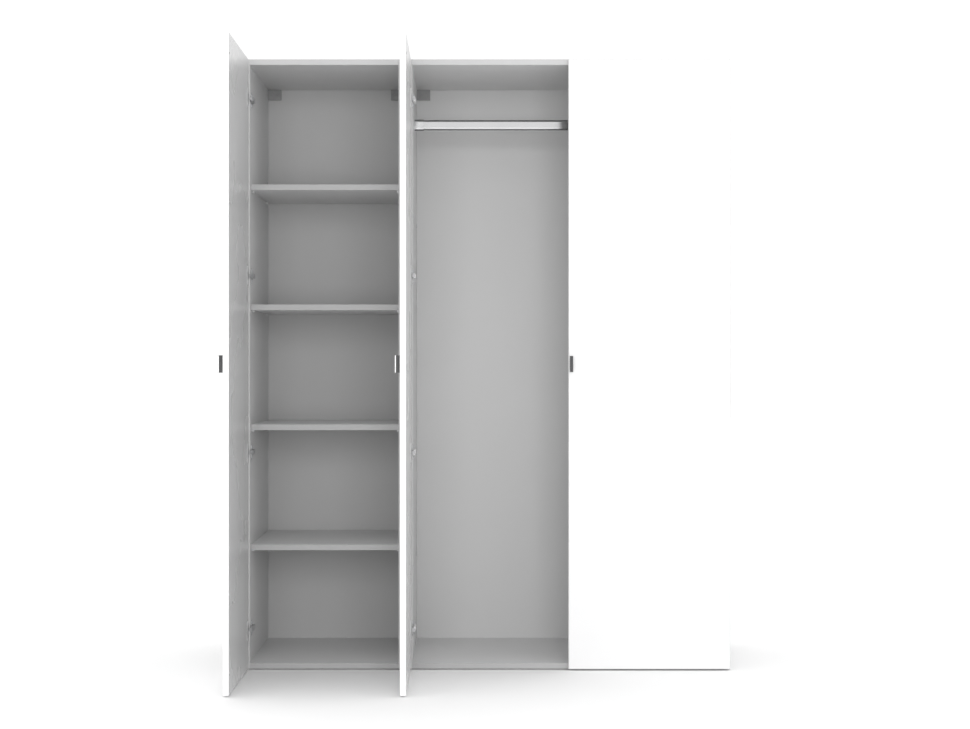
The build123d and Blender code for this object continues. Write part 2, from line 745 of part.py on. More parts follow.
def hinge_plates(side_x, hand):
    """Winged plate on the side panel, with the ridge that the arm clips over."""
    face_x = side_x + hand * side_thickness
    with BuildPart() as plates:
        with BuildSketch(upright(face_x)):
            with Locations([(plate_row, z) for z in hinge_heights]):
                RectangleRounded(plate_width, plate_height, plate_corner)
                with GridLocations(0, plate_screw_spacing, 1, 2):
                    Circle(plate_screw_diameter / 2, mode=Mode.SUBTRACT)
        extrude(amount=hand * plate_thickness)
        with BuildSketch(upright(face_x)):
            with Locations([(sum(ridge_span) / 2, z) for z in hinge_heights]):
                Rectangle(ridge_span[1] - ridge_span[0], ridge_height)
        extrude(amount=hand * ridge_rise)
    return plates


def hinge_arms(side_x, hand):
    """Arm on the plate's ridge; its forked nose reaches in front of the carcass."""
    base_u = side_thickness + ridge_rise
    slot_height = link_height + 2 * link_gap
    nose_slot_length = 2 * (nose_radius + link_gap)
    nose_slot_width = 2 * nose_slot_length
    with BuildPart() as arms:
        for z in hinge_heights:
            with BuildSketch(hinge_plane(side_x, hand, z - arm_height / 2)):
                with Locations((base_u + arm_rise / 2, hand * sum(arm_span) / 2)):
                    Rectangle(arm_rise, arm_span[1] - arm_span[0])
            extrude(amount=arm_height)
        fillet(arms.edges().filter_by(Axis.Y), radius=arm_round)
        for z in hinge_heights:
            with BuildSketch(hinge_plane(side_x, hand, z - nose_height / 2)):
                with Locations((pin_u, hand * (pin_w + arm_span[0]) / 2)):
                    Rectangle(2 * nose_radius, arm_span[0] - pin_w)
                with Locations((pin_u, hand * pin_w)):
                    Circle(nose_radius)
            extrude(amount=nose_height)
        for z in hinge_heights:
            with BuildSketch(hinge_plane(side_x, hand, z - slot_height / 2)):
                with Locations((pin_u, hand * pin_w)):
                    Rectangle(nose_slot_width, nose_slot_length)
            extrude(amount=slot_height, mode=Mode.SUBTRACT)
            with BuildSketch(hinge_plane(side_x, hand, z - nose_height / 2)):
                with Locations((pin_u, hand * pin_w)):
                    Circle(arm_pin_radius)
            extrude(amount=nose_height, mode=Mode.SUBTRACT)
        top_x = side_x + hand * (base_u + arm_rise)
        with BuildSketch(upright(top_x)):
            with Locations([(row, z) for row in adjuster_rows for z in hinge_heights]):
                Circle(adjuster_diameter / 2)
        extrude(amount=-hand * adjuster_depth, mode=Mode.SUBTRACT)
    return arms


def hinge_links(side_x, hand, opening):
    """One link in each arm's nose; its far eye is the pivot left open at the cup."""
    turn = radians(link_closed_angle + link_ratio * opening)
    tip_u = pin_u + link_length * cos(turn)
    tip_w = pin_w + link_length * sin(turn)
    with BuildPart() as links:
        for z in hinge_heights:
            with BuildSketch(hinge_plane(side_x, hand, z - link_height / 2)):
                with Locations((pin_u, hand * pin_w)):
                    Circle(link_eye)
                with Locations((tip_u, hand * tip_w)):
                    Circle(link_tip)
                make_hull()
                with Locations((pin_u, hand * pin_w)):
                    Circle(arm_pin_radius + pin_clearance, mode=Mode.SUBTRACT)
                with Locations((tip_u, hand * tip_w)):
                    Circle(link_tip_hole, mode=Mode.SUBTRACT)
            extrude(amount=link_height)
    return links


for name, side_x, hand, opening in doors:
    save(door(side_x, hand, opening), f"{name}_door")
    save(handle(side_x, hand, opening), f"{name}_handle")
    save(door_screws(side_x, hand, opening), f"{name}_door_screws")
    save(bumpers(side_x, hand, opening), f"{name}_door_bumpers")
    save(hinge_cups(side_x, hand, opening), f"{name}_hinge_cups")
    save(hinge_plates(side_x, hand), f"{name}_hinge_plates")
    save(hinge_arms(side_x, hand), f"{name}_hinge_arms")
    save(hinge_links(side_x, hand, opening), f"{name}_hinge_links")

with BuildPart() as arm_pins:
    for name, side_x, hand, opening in doors:
        for z in hinge_heights:
            with BuildSketch(hinge_plane(side_x, hand, z - nose_height / 2)):
                with Locations((pin_u, hand * pin_w)):
                    Circle(arm_pin_radius)
            extrude(amount=nose_height)
save(arm_pins, "hinge_arm_pins")

with BuildPart() as plate_screws:
    for name, side_x, hand, opening in doors:
        plate_x = side_x + hand * (side_thickness + plate_thickness)
        with BuildSketch(upright(plate_x)):
            with Locations([(plate_row, z) for z in hinge_heights]):
                with GridLocations(0, plate_screw_spacing, 1, 2):
                    Circle(plate_screw_diameter / 2)
        extrude(amount=-hand * plate_screw_length)
        with BuildSketch(upright(plate_x)):
            with Locations([(plate_row, z) for z in hinge_heights]):
                with GridLocations(0, plate_screw_spacing, 1, 2):
                    Circle(plate_screw_head / 2)
        extrude(amount=hand * plate_screw_head_height)
save(plate_screws, "hinge_plate_screws")

with BuildPart() as adjusters:
    for name, side_x, hand, opening in doors:
        top_x = side_x + hand * (side_thickness + ridge_rise + arm_rise)
        with BuildSketch(upright(top_x - hand * adjuster_depth)):
            with Locations([(row, z) for row in adjuster_rows for z in hinge_heights]):
                Circle(adjuster_diameter / 2)
        extrude(amount=hand * adjuster_depth)
        with BuildSketch(upright(top_x)):
            with Locations([(row, z) for row in adjuster_rows for z in hinge_heights]):
                Rectangle(adjuster_diameter, adjuster_slot[0])
                Rectangle(adjuster_slot[0], adjuster_diameter)
        extrude(amount=-hand * adjuster_slot[1], mode=Mode.SUBTRACT)
save(adjusters, "hinge_adjusting_screws")
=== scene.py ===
import json
import math

import bmesh
import bpy
from mathutils import Matrix, Vector


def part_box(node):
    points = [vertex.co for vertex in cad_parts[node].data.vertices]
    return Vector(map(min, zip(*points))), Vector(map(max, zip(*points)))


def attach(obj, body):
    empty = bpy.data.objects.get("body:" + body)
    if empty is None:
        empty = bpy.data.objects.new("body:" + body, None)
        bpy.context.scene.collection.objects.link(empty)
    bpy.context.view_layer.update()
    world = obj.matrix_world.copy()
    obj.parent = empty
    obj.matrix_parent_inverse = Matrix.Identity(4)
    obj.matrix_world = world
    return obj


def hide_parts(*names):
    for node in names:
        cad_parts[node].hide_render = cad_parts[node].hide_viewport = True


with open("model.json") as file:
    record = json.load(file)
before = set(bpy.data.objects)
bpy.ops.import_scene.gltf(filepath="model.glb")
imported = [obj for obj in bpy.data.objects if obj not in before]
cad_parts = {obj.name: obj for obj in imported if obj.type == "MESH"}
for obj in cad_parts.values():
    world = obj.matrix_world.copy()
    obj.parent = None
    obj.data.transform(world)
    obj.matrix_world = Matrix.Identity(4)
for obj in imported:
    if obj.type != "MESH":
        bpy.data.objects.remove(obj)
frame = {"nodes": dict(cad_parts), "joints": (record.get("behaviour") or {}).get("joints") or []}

# Three-door wardrobe in white foil: two doors open, one closed. Metres, the doors face -Y.

scene = bpy.context.scene
scene.view_settings.view_transform = "Standard"
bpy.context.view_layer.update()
joints = {joint["name"]: joint for joint in frame["joints"]}
doorNames = ["left", "middle", "right"]
hingesPerDoor = 4
shelfCount = 4
hangerCount = 4
mm = 0.001


# small shader helpers
def feed(tree, socket, term):
    if isinstance(term, bpy.types.NodeSocket):
        tree.links.new(term, socket)
    else:
        socket.default_value = term


def calc(tree, operation, *terms):
    node = tree.nodes.new("ShaderNodeMath")
    node.operation = operation
    for place, term in enumerate(terms):
        feed(tree, node.inputs[place], term)
    return node.outputs[0]


def remap(tree, value, fromLow, fromHigh, toLow, toHigh):
    node = tree.nodes.new("ShaderNodeMapRange")
    for label, term in (("Value", value), ("From Min", fromLow), ("From Max", fromHigh),
                        ("To Min", toLow), ("To Max", toHigh)):
        feed(tree, node.inputs[label], term)
    return node.outputs[0]


def noise(tree, vector, scale, detail=2.0, roughness=0.5):
    node = tree.nodes.new("ShaderNodeTexNoise")
    feed(tree, node.inputs["Vector"], vector)
    feed(tree, node.inputs["Scale"], scale)
    feed(tree, node.inputs["Detail"], detail)
    feed(tree, node.inputs["Roughness"], roughness)
    return node.outputs[0]


def stretch(tree, vector, scale, place=(0, 0, 0)):
    node = tree.nodes.new("ShaderNodeMapping")
    feed(tree, node.inputs["Vector"], vector)
    node.inputs["Location"].default_value = place
    node.inputs["Scale"].default_value = scale
    return node.outputs[0]


def mixColour(tree, factor, first, second):
    node = tree.nodes.new("ShaderNodeMix")
    node.data_type = "RGBA"
    feed(tree, node.inputs[0], factor)
    feed(tree, node.inputs[6], first)
    feed(tree, node.inputs[7], second)
    return node.outputs[2]


def bump(tree, height, strength, distance):
    node = tree.nodes.new("ShaderNodeBump")
    node.inputs["Strength"].default_value = strength
    node.inputs["Distance"].default_value = distance
    feed(tree, node.inputs["Height"], height)
    return node.outputs[0]


def newGroup(name, inputs, outputs):
    group = bpy.data.node_groups.new(name, "ShaderNodeTree")
    for label, kind in inputs:
        group.interface.new_socket(name=label, in_out="INPUT", socket_type=kind)
    for label, kind in outputs:
        group.interface.new_socket(name=label, in_out="OUTPUT", socket_type=kind)
    return group, group.nodes.new("NodeGroupInput").outputs, group.nodes.new("NodeGroupOutput").inputs


def useGroup(tree, group, **terms):
    node = tree.nodes.new("ShaderNodeGroup")
    node.node_tree = group
    for label, term in terms.items():
        feed(tree, node.inputs[label], term)
    return node.outputs


number = "NodeSocketFloat"
vectorKind = "NodeSocketVector"


# effects that several finishes share
def makeToneDrift():
    # slow cloudy difference from one part of a surface to the next, 0 to 1
    group, given, made = newGroup("toneDrift", [("Vector", vectorKind), ("Scale", number)],
                                  [("Mask", number)])
    broad = noise(group, given["Vector"], given["Scale"], 3.0, 0.55)
    group.links.new(remap(group, broad, 0.3, 0.7, 0.0, 1.0), made["Mask"])
    return group


def makeFoilSkin():
    # the faint orange peel of a pressed foil, with a much finer grain on it
    group, given, made = newGroup("foilSkin", [("Vector", vectorKind), ("Peel", number),
                                               ("Grain", number)], [("Height", number)])
    peel = noise(group, given["Vector"], given["Peel"], 1.0, 0.4)
    grain = noise(group, given["Vector"], given["Grain"], 2.0, 0.6)
    group.links.new(calc(group, "ADD", peel, calc(group, "MULTIPLY", grain, 0.35)), made["Height"])
    return group


def makeEdgeWear():
    # rubbed edges: the rounded normal leaves the true one near a corner
    group, given, made = newGroup("edgeWear", [("Vector", vectorKind), ("Radius", number),
                                               ("Breakup", number)], [("Mask", number)])
    rounded = group.nodes.new("ShaderNodeBevel")
    rounded.samples = 4
    group.links.new(given["Radius"], rounded.inputs["Radius"])
    straight = group.nodes.new("ShaderNodeNewGeometry").outputs["Normal"]
    likeness = group.nodes.new("ShaderNodeVectorMath")
    likeness.operation = "DOT_PRODUCT"
    group.links.new(rounded.outputs[0], likeness.inputs[0])
    group.links.new(straight, likeness.inputs[1])
    corner = remap(group, likeness.outputs["Value"], 0.98, 0.8, 0.0, 1.0)
    patches = remap(group, noise(group, given["Vector"], given["Breakup"], 3.0, 0.6), 0.4, 0.6, 0.25, 1.0)
    group.links.new(calc(group, "MULTIPLY", corner, patches), made["Mask"])
    return group


def makeSeamLine():
    # an edge band and the hairline where it meets the face, from the distance to the edge
    group, given, made = newGroup("seamLine", [("Distance", number), ("Band", number), ("Line", number)],
                                  [("Band", number), ("Seam", number)])
    band = calc(group, "LESS_THAN", given["Distance"], given["Band"])
    away = calc(group, "ABSOLUTE", calc(group, "SUBTRACT", given["Distance"], given["Band"]))
    seam = remap(group, away, 0.0, given["Line"], 1.0, 0.0)
    group.links.new(band, made["Band"])
    group.links.new(seam, made["Seam"])
    return group


def makeBrushed():
    # long fine lines, as drawn or rolled metal has
    group, given, made = newGroup("brushedLines", [("Vector", vectorKind), ("Scale", number)],
                                  [("Lines", number), ("Height", number)])
    wide = noise(group, given["Vector"], given["Scale"], 4.0, 0.7)
    fine = noise(group, given["Vector"], calc(group, "MULTIPLY", given["Scale"], 4.0), 2.0, 0.6)
    both = calc(group, "ADD", calc(group, "MULTIPLY", wide, 0.6), calc(group, "MULTIPLY", fine, 0.4))
    group.links.new(remap(group, both, 0.35, 0.65, 0.0, 1.0), made["Lines"])
    group.links.new(both, made["Height"])
    return group


def makeMouldGrain():
    # spark-eroded grain of a moulded plastic or a powder coat
    group, given, made = newGroup("mouldGrain", [("Vector", vectorKind), ("Scale", number)],
                                  [("Height", number), ("Mask", number)])
    cells = group.nodes.new("ShaderNodeTexVoronoi")
    group.links.new(given["Vector"], cells.inputs["Vector"])
    group.links.new(given["Scale"], cells.inputs["Scale"])
    soft = noise(group, given["Vector"], given["Scale"], 2.0, 0.6)
    group.links.new(calc(group, "ADD", cells.outputs["Distance"], soft), made["Height"])
    group.links.new(remap(group, soft, 0.35, 0.65, 0.0, 1.0), made["Mask"])
    return group


def makeScuffs():
    # a few thin hairline scratches, 0 to 1
    group, given, made = newGroup("scuffs", [("Vector", vectorKind), ("Scale", number)], [("Mask", number)])
    bent = noise(group, given["Vector"], given["Scale"], 1.0, 0.5)
    ridge = calc(group, "ABSOLUTE", calc(group, "SUBTRACT", bent, 0.5))
    line = remap(group, ridge, 0.0, 0.012, 1.0, 0.0)
    wider = calc(group, "MULTIPLY", given["Scale"], 0.6)
    where = remap(group, noise(group, given["Vector"], wider, 2.0, 0.5), 0.52, 0.62, 0.0, 1.0)
    group.links.new(calc(group, "MULTIPLY", line, where), made["Mask"])
    return group


toneDrift = makeToneDrift()
foilSkin = makeFoilSkin()
edgeWear = makeEdgeWear()
seamLine = makeSeamLine()
brushedLines = makeBrushed()
mouldGrain = makeMouldGrain()
scuffs = makeScuffs()
print("shared effects made")


# finishes
def newFinish(name, fixed):
    material = bpy.data.materials.new(name)
    material.use_nodes = True
    tree = material.node_tree
    shader = tree.nodes["Principled BSDF"]
    for label, value in fixed.items():
        shader.inputs[label].default_value = value
    place = tree.nodes.new("ShaderNodeTexCoord").outputs["Object"]
    return material, tree, shader.inputs, place


def parts(tree, vector):
    node = tree.nodes.new("ShaderNodeSeparateXYZ")
    feed(tree, node.inputs[0], vector)
    return node.outputs


foil = {
    "carcass": (0.60, 0.60, 0.60, 1), "carcassShade": (0.585, 0.585, 0.587, 1),
    # doors and carcass are one white foil: lighter on the doors as painted light, greyer on the carcass as
    # painted shade
    "door": (0.78, 0.78, 0.78, 1), "doorShade": (0.77, 0.77, 0.772, 1),
    # greyer copy of the door foil for the door's inner face: painted shade
    "inside": (0.57, 0.57, 0.57, 1), "insideShade": (0.56, 0.56, 0.562, 1),
    # front edge band colours: a real edge band, made darker than the face as painted shade, darker on shelves
    # and darkest on bottom panels
    "band": (0.45, 0.45, 0.45, 1), "shelfBandShade": (0.31, 0.31, 0.31, 1), "baseBandShade": (0.3, 0.3, 0.3, 1),
    "seam": (0.3, 0.3, 0.3, 1), "worn": (0.5, 0.5, 0.49, 1),
    # the back panels are one printed board, set greyer in the left bay than in the right: painted shade
    "left_frame": (0.56, 0.56, 0.56, 1), "right_frame": (0.655, 0.655, 0.655, 1), "backShade": 0.975,
    "bandWidth": 1.0 * mm, "seamWidth": 0.16 * mm, "facingDepth": 0.4 * mm, "driftScale": 1.6,
    # darker rim round a door's outer face: painted shade of its rounded edge
    "rim": (0.40, 0.40, 0.40, 1), "rimShadeFrom": 0.8 * mm, "rimShadeTo": 2.8 * mm,
    "peel": 420.0, "grain": 2600.0, "skinBump": 0.07, "skinDepth": 0.01 * mm,
    "edge": 0.9 * mm, "edgeBreakup": 60.0,
    "bandShadeMix": 0.6, "seamMix": 0.55, "rimShadeMix": 0.75, "wornMix": 0.1,
}


def foilFinish(name, main, shade, roughness, distance, bandShadeColour, inner=None, outer=None):
    # satin foil on board, with its edge band and the hairline beside it; a door's inner face gets a greyer
    # copy of the foil as painted shade, and its outer face a darker rim as painted shade
    material, tree, shader, place = newFinish(name, {"IOR": 1.46, "Diffuse Roughness": 0.3})
    drift = useGroup(tree, toneDrift, Vector=place, Scale=foil["driftScale"])["Mask"]
    skin = useGroup(tree, foilSkin, Vector=place, Peel=foil["peel"], Grain=foil["grain"])["Height"]
    wear = useGroup(tree, edgeWear, Vector=place, Radius=foil["edge"], Breakup=foil["edgeBreakup"])["Mask"]
    colour = mixColour(tree, drift, main, shade)
    # a door's inner face takes the greyer copy of the same foil: painted shade
    if inner:
        shadedInside = mixColour(tree, drift, foil["inside"], foil["insideShade"])
        colour = mixColour(tree, inner(tree, place), colour, shadedInside)
        # darker rim just inside the outer face's edges: painted shade
        rimShade = remap(tree, distance(tree, place), foil["rimShadeFrom"], foil["rimShadeTo"], foil["rimShadeMix"], 0.0)
        colour = mixColour(tree, calc(tree, "MULTIPLY", rimShade, outer(tree, place)), colour, foil["rim"])
    if distance:
        # front edge band mixed darker than the face as painted shade, with the hairline seam beside it
        edge = useGroup(tree, seamLine, Distance=distance(tree, place), Band=foil["bandWidth"],
                        Line=foil["seamWidth"])
        colour = mixColour(tree, calc(tree, "MULTIPLY", edge["Band"], foil["bandShadeMix"]), colour, bandShadeColour)
        seam = calc(tree, "MULTIPLY", edge["Seam"], foil["seamMix"])
        colour = mixColour(tree, seam, colour, foil["seam"])
    colour = mixColour(tree, calc(tree, "MULTIPLY", wear, foil["wornMix"]), colour, foil["worn"])
    feed(tree, shader["Base Color"], colour)
    low, high = roughness
    feed(tree, shader["Roughness"], remap(tree, drift, 0.0, 1.0, low, high))
    feed(tree, shader["Normal"], bump(tree, skin, foil["skinBump"], foil["skinDepth"]))
    return material


def fromFront(frontY):
    # how far a point lies behind a panel's front edge
    return lambda tree, place: calc(tree, "SUBTRACT", parts(tree, place)["Y"], frontY)


def fromRim(low, high):
    # how far a point on a door lies from the nearest of its four edges
    thin = 0 if high.x - low.x < high.y - low.y else 1
    middle = (low + high) / 2
    half = (high - low) / 2

    def distance(tree, place):
        centred = parts(tree, stretch(tree, place, (1, 1, 1), tuple(-middle)))
        across = calc(tree, "SUBTRACT", half[1 - thin], calc(tree, "ABSOLUTE", centred[1 - thin]))
        along = calc(tree, "SUBTRACT", half[2], calc(tree, "ABSOLUTE", centred[2]))
        return calc(tree, "MINIMUM", across, along)

    return distance


def onFace(door, side):
    # 1 on a door's inner face (side 1) or its outer face (side -1), 0 elsewhere
    low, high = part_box(f"{door}_door")
    cupLow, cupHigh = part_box(f"{door}_hinge_cups")
    thin = 0 if high.x - low.x < high.y - low.y else 1
    outward = side * math.copysign(1, cupLow[thin] + cupHigh[thin] - low[thin] - high[thin])
    faceAt = high[thin] if outward > 0 else low[thin]

    def mask(tree, place):
        behind = calc(tree, "MULTIPLY", calc(tree, "SUBTRACT", faceAt, parts(tree, place)[thin]), outward)
        return calc(tree, "LESS_THAN", behind, foil["facingDepth"])

    return mask


metalMix = {"lines": 0.25, "worn": 0.6, "scuff": 0.12, "breakup": 300.0, "depth": 0.02 * mm}
plasticMix = {"grain": 0.2, "worn": 0.5, "polish": 0.1, "breakup": 400.0, "depth": 0.03 * mm}


def metalFinish(name, values):
    # plated or drawn metal: stretch gives the way the lines run
    material, tree, shader, place = newFinish(name, {"Metallic": values.get("metallic", 1.0)})
    run = stretch(tree, place, values["stretch"])
    lines = useGroup(tree, brushedLines, Vector=run, Scale=values["lineScale"])
    drift = useGroup(tree, toneDrift, Vector=place, Scale=values["driftScale"])["Mask"]
    wear = useGroup(tree, edgeWear, Vector=place, Radius=values["edge"],
                    Breakup=metalMix["breakup"])["Mask"]
    rubbed = useGroup(tree, scuffs, Vector=place, Scale=values["scuffScale"])["Mask"]
    colour = mixColour(tree, drift, values["main"], values["shade"])
    streaks = calc(tree, "MULTIPLY", lines["Lines"], metalMix["lines"])
    colour = mixColour(tree, streaks, colour, values["shade"])
    colour = mixColour(tree, calc(tree, "MULTIPLY", wear, metalMix["worn"]), colour, values["worn"])
    # darker towards the top and bottom of the profile: painted dark reflection
    if "shoulderShade" in values:
        middle, start, end, shoulderDark = values["shoulderShade"]
        rise = calc(tree, "ABSOLUTE", calc(tree, "SUBTRACT", parts(tree, place)["Z"], middle))
        colour = mixColour(tree, remap(tree, rise, start, end, 0.0, 1.0), colour, shoulderDark)
    feed(tree, shader["Base Color"], colour)
    low, high = values["roughness"]
    rough = remap(tree, lines["Lines"], 0.0, 1.0, low, high)
    scuffed = calc(tree, "MULTIPLY", rubbed, metalMix["scuff"])
    feed(tree, shader["Roughness"], calc(tree, "ADD", rough, scuffed))
    feed(tree, shader["Normal"], bump(tree, lines["Height"], values["bump"], metalMix["depth"]))
    return material


def plasticFinish(name, values):
    # moulded plastic with its eroded grain and edges polished by handling
    material, tree, shader, place = newFinish(name, {"IOR": 1.49, **values.get("fixed", {})})
    grain = useGroup(tree, mouldGrain, Vector=place, Scale=values["grainScale"])
    drift = useGroup(tree, toneDrift, Vector=place, Scale=values["driftScale"])["Mask"]
    wear = useGroup(tree, edgeWear, Vector=place, Radius=values["edge"],
                    Breakup=plasticMix["breakup"])["Mask"]
    colour = mixColour(tree, drift, values["main"], values["shade"])
    speckle = calc(tree, "MULTIPLY", grain["Mask"], plasticMix["grain"])
    colour = mixColour(tree, speckle, colour, values["shade"])
    colour = mixColour(tree, calc(tree, "MULTIPLY", wear, plasticMix["worn"]), colour, values["worn"])
    # a light strip along the lip's end: painted highlight
    if "tip" in values:
        axis, end = values["tip"]
        past = calc(tree, "SUBTRACT", parts(tree, place)[axis], end)
        colour = mixColour(tree, calc(tree, "LESS_THAN", past, values["bareDepth"]), colour, values["bare"])
    feed(tree, shader["Base Color"], colour)
    low, high = values["roughness"]
    rough = remap(tree, grain["Mask"], 0.0, 1.0, low, high)
    polish = calc(tree, "MULTIPLY", wear, plasticMix["polish"])
    feed(tree, shader["Roughness"], calc(tree, "SUBTRACT", rough, polish))
    feed(tree, shader["Normal"], bump(tree, grain["Height"], values["bump"], plasticMix["depth"]))
    return material


def beechFinish(name, values):
    # beech dowel: pale rings along the grain with short dark flecks
    material, tree, shader, place = newFinish(name, {"IOR": 1.5})
    run = stretch(tree, place, (12.0, 260.0, 260.0))
    rings = noise(tree, run, 1.6, 4.0, 0.6)
    spots = noise(tree, stretch(tree, place, (90.0, 900.0, 900.0)), 1.0, 1.0, 0.5)
    flecks = remap(tree, spots, 0.62, 0.7, 0.0, 1.0)
    colour = mixColour(tree, remap(tree, rings, 0.35, 0.65, 0.0, 1.0), values["main"], values["shade"])
    colour = mixColour(tree, calc(tree, "MULTIPLY", flecks, 0.5), colour, values["fleck"])
    feed(tree, shader["Base Color"], colour)
    feed(tree, shader["Roughness"], remap(tree, rings, 0.3, 0.7, 0.55, 0.7))
    feed(tree, shader["Normal"], bump(tree, rings, 0.4, 0.05 * mm))
    return material


railLow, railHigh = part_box("hanging_rail")
railMiddle = (railLow.z + railHigh.z) / 2
# rail and bracket are painted darker near their top and bottom: painted dark reflection
railTube = metalFinish("railTube", {
    "main": (0.68, 0.68, 0.685, 1), "shade": (0.61, 0.61, 0.62, 1), "worn": (0.72, 0.72, 0.72, 1),
    "shoulderShade": (railMiddle, 11.5 * mm, 14.0 * mm, (0.3, 0.3, 0.305, 1)),
    "roughness": (0.1, 0.16), "stretch": (2.0, 260.0, 260.0), "lineScale": 2.0, "driftScale": 6.0,
    "scuffScale": 40.0, "edge": 0.4 * mm, "bump": 0.12,
})
bracketMetal = metalFinish("bracketMetal", {
    "main": (0.72, 0.72, 0.72, 1), "shade": (0.6, 0.6, 0.61, 1), "worn": (0.85, 0.85, 0.85, 1),
    "shoulderShade": (railMiddle, 13.0 * mm, 15.5 * mm, (0.28, 0.28, 0.285, 1)),
    "roughness": (0.16, 0.26), "stretch": (140.0, 140.0, 30.0), "lineScale": 4.0, "driftScale": 60.0,
    "scuffScale": 120.0, "edge": 0.4 * mm, "bump": 0.25,
})
hingeNickel = metalFinish("hingeNickel", {
    "main": (0.86, 0.86, 0.86, 1), "shade": (0.76, 0.76, 0.77, 1), "worn": (0.92, 0.92, 0.92, 1),
    "roughness": (0.4, 0.52), "stretch": (60.0, 60.0, 320.0), "lineScale": 3.0, "driftScale": 70.0,
    "scuffScale": 150.0, "edge": 0.35 * mm, "bump": 0.2,
})
# a darker copy of the hinge nickel for arms, plates, links and pins: painted shade
shadedNickel = metalFinish("shadedNickel", {
    "main": (0.56, 0.56, 0.57, 1), "shade": (0.45, 0.45, 0.46, 1), "worn": (0.8, 0.8, 0.8, 1),
    "roughness": (0.24, 0.36), "stretch": (60.0, 60.0, 320.0), "lineScale": 3.0, "driftScale": 70.0,
    "scuffScale": 150.0, "edge": 0.35 * mm, "bump": 0.2,
})
screwZinc = metalFinish("screwZinc", {
    "main": (0.60, 0.61, 0.63, 1), "shade": (0.42, 0.43, 0.45, 1), "worn": (0.82, 0.82, 0.83, 1),
    "roughness": (0.26, 0.42), "stretch": (700.0, 700.0, 700.0), "lineScale": 1.0, "driftScale": 240.0,
    "scuffScale": 300.0, "edge": 0.25 * mm, "bump": 0.25,
})
# a brighter copy of the same nickel for the middle door's arms: painted highlight
litNickel = metalFinish("litNickel", {
    "main": (0.9, 0.9, 0.9, 1), "shade": (0.82, 0.82, 0.83, 1), "worn": (0.94, 0.94, 0.94, 1),
    "roughness": (0.3, 0.42), "stretch": (60.0, 60.0, 320.0), "lineScale": 3.0, "driftScale": 70.0,
    "scuffScale": 150.0, "edge": 0.35 * mm, "bump": 0.2, "metallic": 0.4,
})
# the middle door's arms get the lighter copy: painted highlight
armFinish = {"left": shadedNickel, "middle": litNickel, "right": shadedNickel}
pullValues = {
    "main": (0.1, 0.1, 0.102, 1), "shade": (0.08, 0.08, 0.082, 1), "worn": (0.2, 0.2, 0.2, 1),
    "roughness": (0.36, 0.5), "grainScale": 1500.0, "driftScale": 90.0, "edge": 0.45 * mm, "bump": 0.4,
    "fixed": {"Metallic": 0.55}, "bare": (0.88, 0.88, 0.88, 1), "bareDepth": 0.35 * mm,
}
hangerPlastic = plasticFinish("hangerPlastic", {
    "main": (0.33, 0.33, 0.333, 1), "shade": (0.29, 0.29, 0.293, 1), "worn": (0.36, 0.36, 0.36, 1),
    "roughness": (0.42, 0.58), "grainScale": 1300.0, "driftScale": 55.0, "edge": 0.5 * mm, "bump": 0.5,
})
clearPad = plasticFinish("clearPad", {
    "main": (0.83, 0.83, 0.82, 1), "shade": (0.76, 0.76, 0.75, 1), "worn": (0.9, 0.9, 0.9, 1),
    "roughness": (0.12, 0.24), "grainScale": 900.0, "driftScale": 200.0, "edge": 0.3 * mm, "bump": 0.15,
    "fixed": {"Transmission Weight": 0.55, "IOR": 1.43},
})
glideNylon = plasticFinish("glideNylon", {
    "main": (0.62, 0.62, 0.61, 1), "shade": (0.52, 0.52, 0.51, 1), "worn": (0.45, 0.45, 0.44, 1),
    "roughness": (0.4, 0.55), "grainScale": 1100.0, "driftScale": 90.0, "edge": 0.6 * mm, "bump": 0.4,
})
beechDowel = beechFinish("beechDowel", {
    "main": (0.53, 0.33, 0.17, 1), "shade": (0.43, 0.25, 0.12, 1), "fleck": (0.22, 0.12, 0.06, 1),
})


def dress(node, material):
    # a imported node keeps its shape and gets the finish
    shown = frame["nodes"][node]
    shown.data.materials.clear()
    shown.data.materials.append(material)


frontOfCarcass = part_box("left_frame_top")[0].y
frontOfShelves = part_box("shelf_1")[0].y
carcassFoil = foilFinish("carcassFoil", foil["carcass"], foil["carcassShade"], (0.34, 0.44),
                         fromFront(frontOfCarcass), foil["band"])
# bottom panels get a darker front band: painted shade
baseShadedFoil = foilFinish("baseShadedFoil", foil["carcass"], foil["carcassShade"], (0.34, 0.44),
                      fromFront(frontOfCarcass), foil["baseBandShade"])
shelfFoil = foilFinish("shelfFoil", foil["carcass"], foil["carcassShade"], (0.36, 0.46),
                       fromFront(frontOfShelves), foil["shelfBandShade"])
for side in ("left_frame", "right_frame"):
    for panel in ("left_side", "right_side", "top"):
        dress(f"{side}_{panel}", carcassFoil)
    dress(f"{side}_bottom", baseShadedFoil)
    # back colour differs between the bays: painted shade
    shadedBackColour = foil[side]
    shadedBackDrift = tuple(foil["backShade"] * part for part in shadedBackColour[:3]) + (1,)
    backFoil = foilFinish(f"{side}BackFoil", shadedBackColour, shadedBackDrift, (0.5, 0.62), None, None)
    dress(f"{side}_back", backFoil)
for index in range(shelfCount):
    dress(f"shelf_{index + 1}", shelfFoil)
for door in doorNames:
    doorFoil = foilFinish(f"{door}DoorFoil", foil["door"], foil["doorShade"], (0.24, 0.32),
                          fromRim(*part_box(f"{door}_door")), foil["door"], onFace(door, 1), onFace(door, -1))
    dress(f"{door}_door", doorFoil)
dress("hanging_rail", railTube)
dress("dowels", beechDowel)
dress("cam_bolts", screwZinc)
print("board, foil and metal finishes made")


# shape helpers: a shape is made round the origin, facing +Z, and then put in its places
def keepShape(bm):
    bmesh.ops.remove_doubles(bm, verts=bm.verts[:], dist=0.001 * mm)
    bmesh.ops.recalc_face_normals(bm, faces=bm.faces[:])
    shape = bpy.data.meshes.new("shape")
    bm.to_mesh(shape)
    bm.free()
    return shape


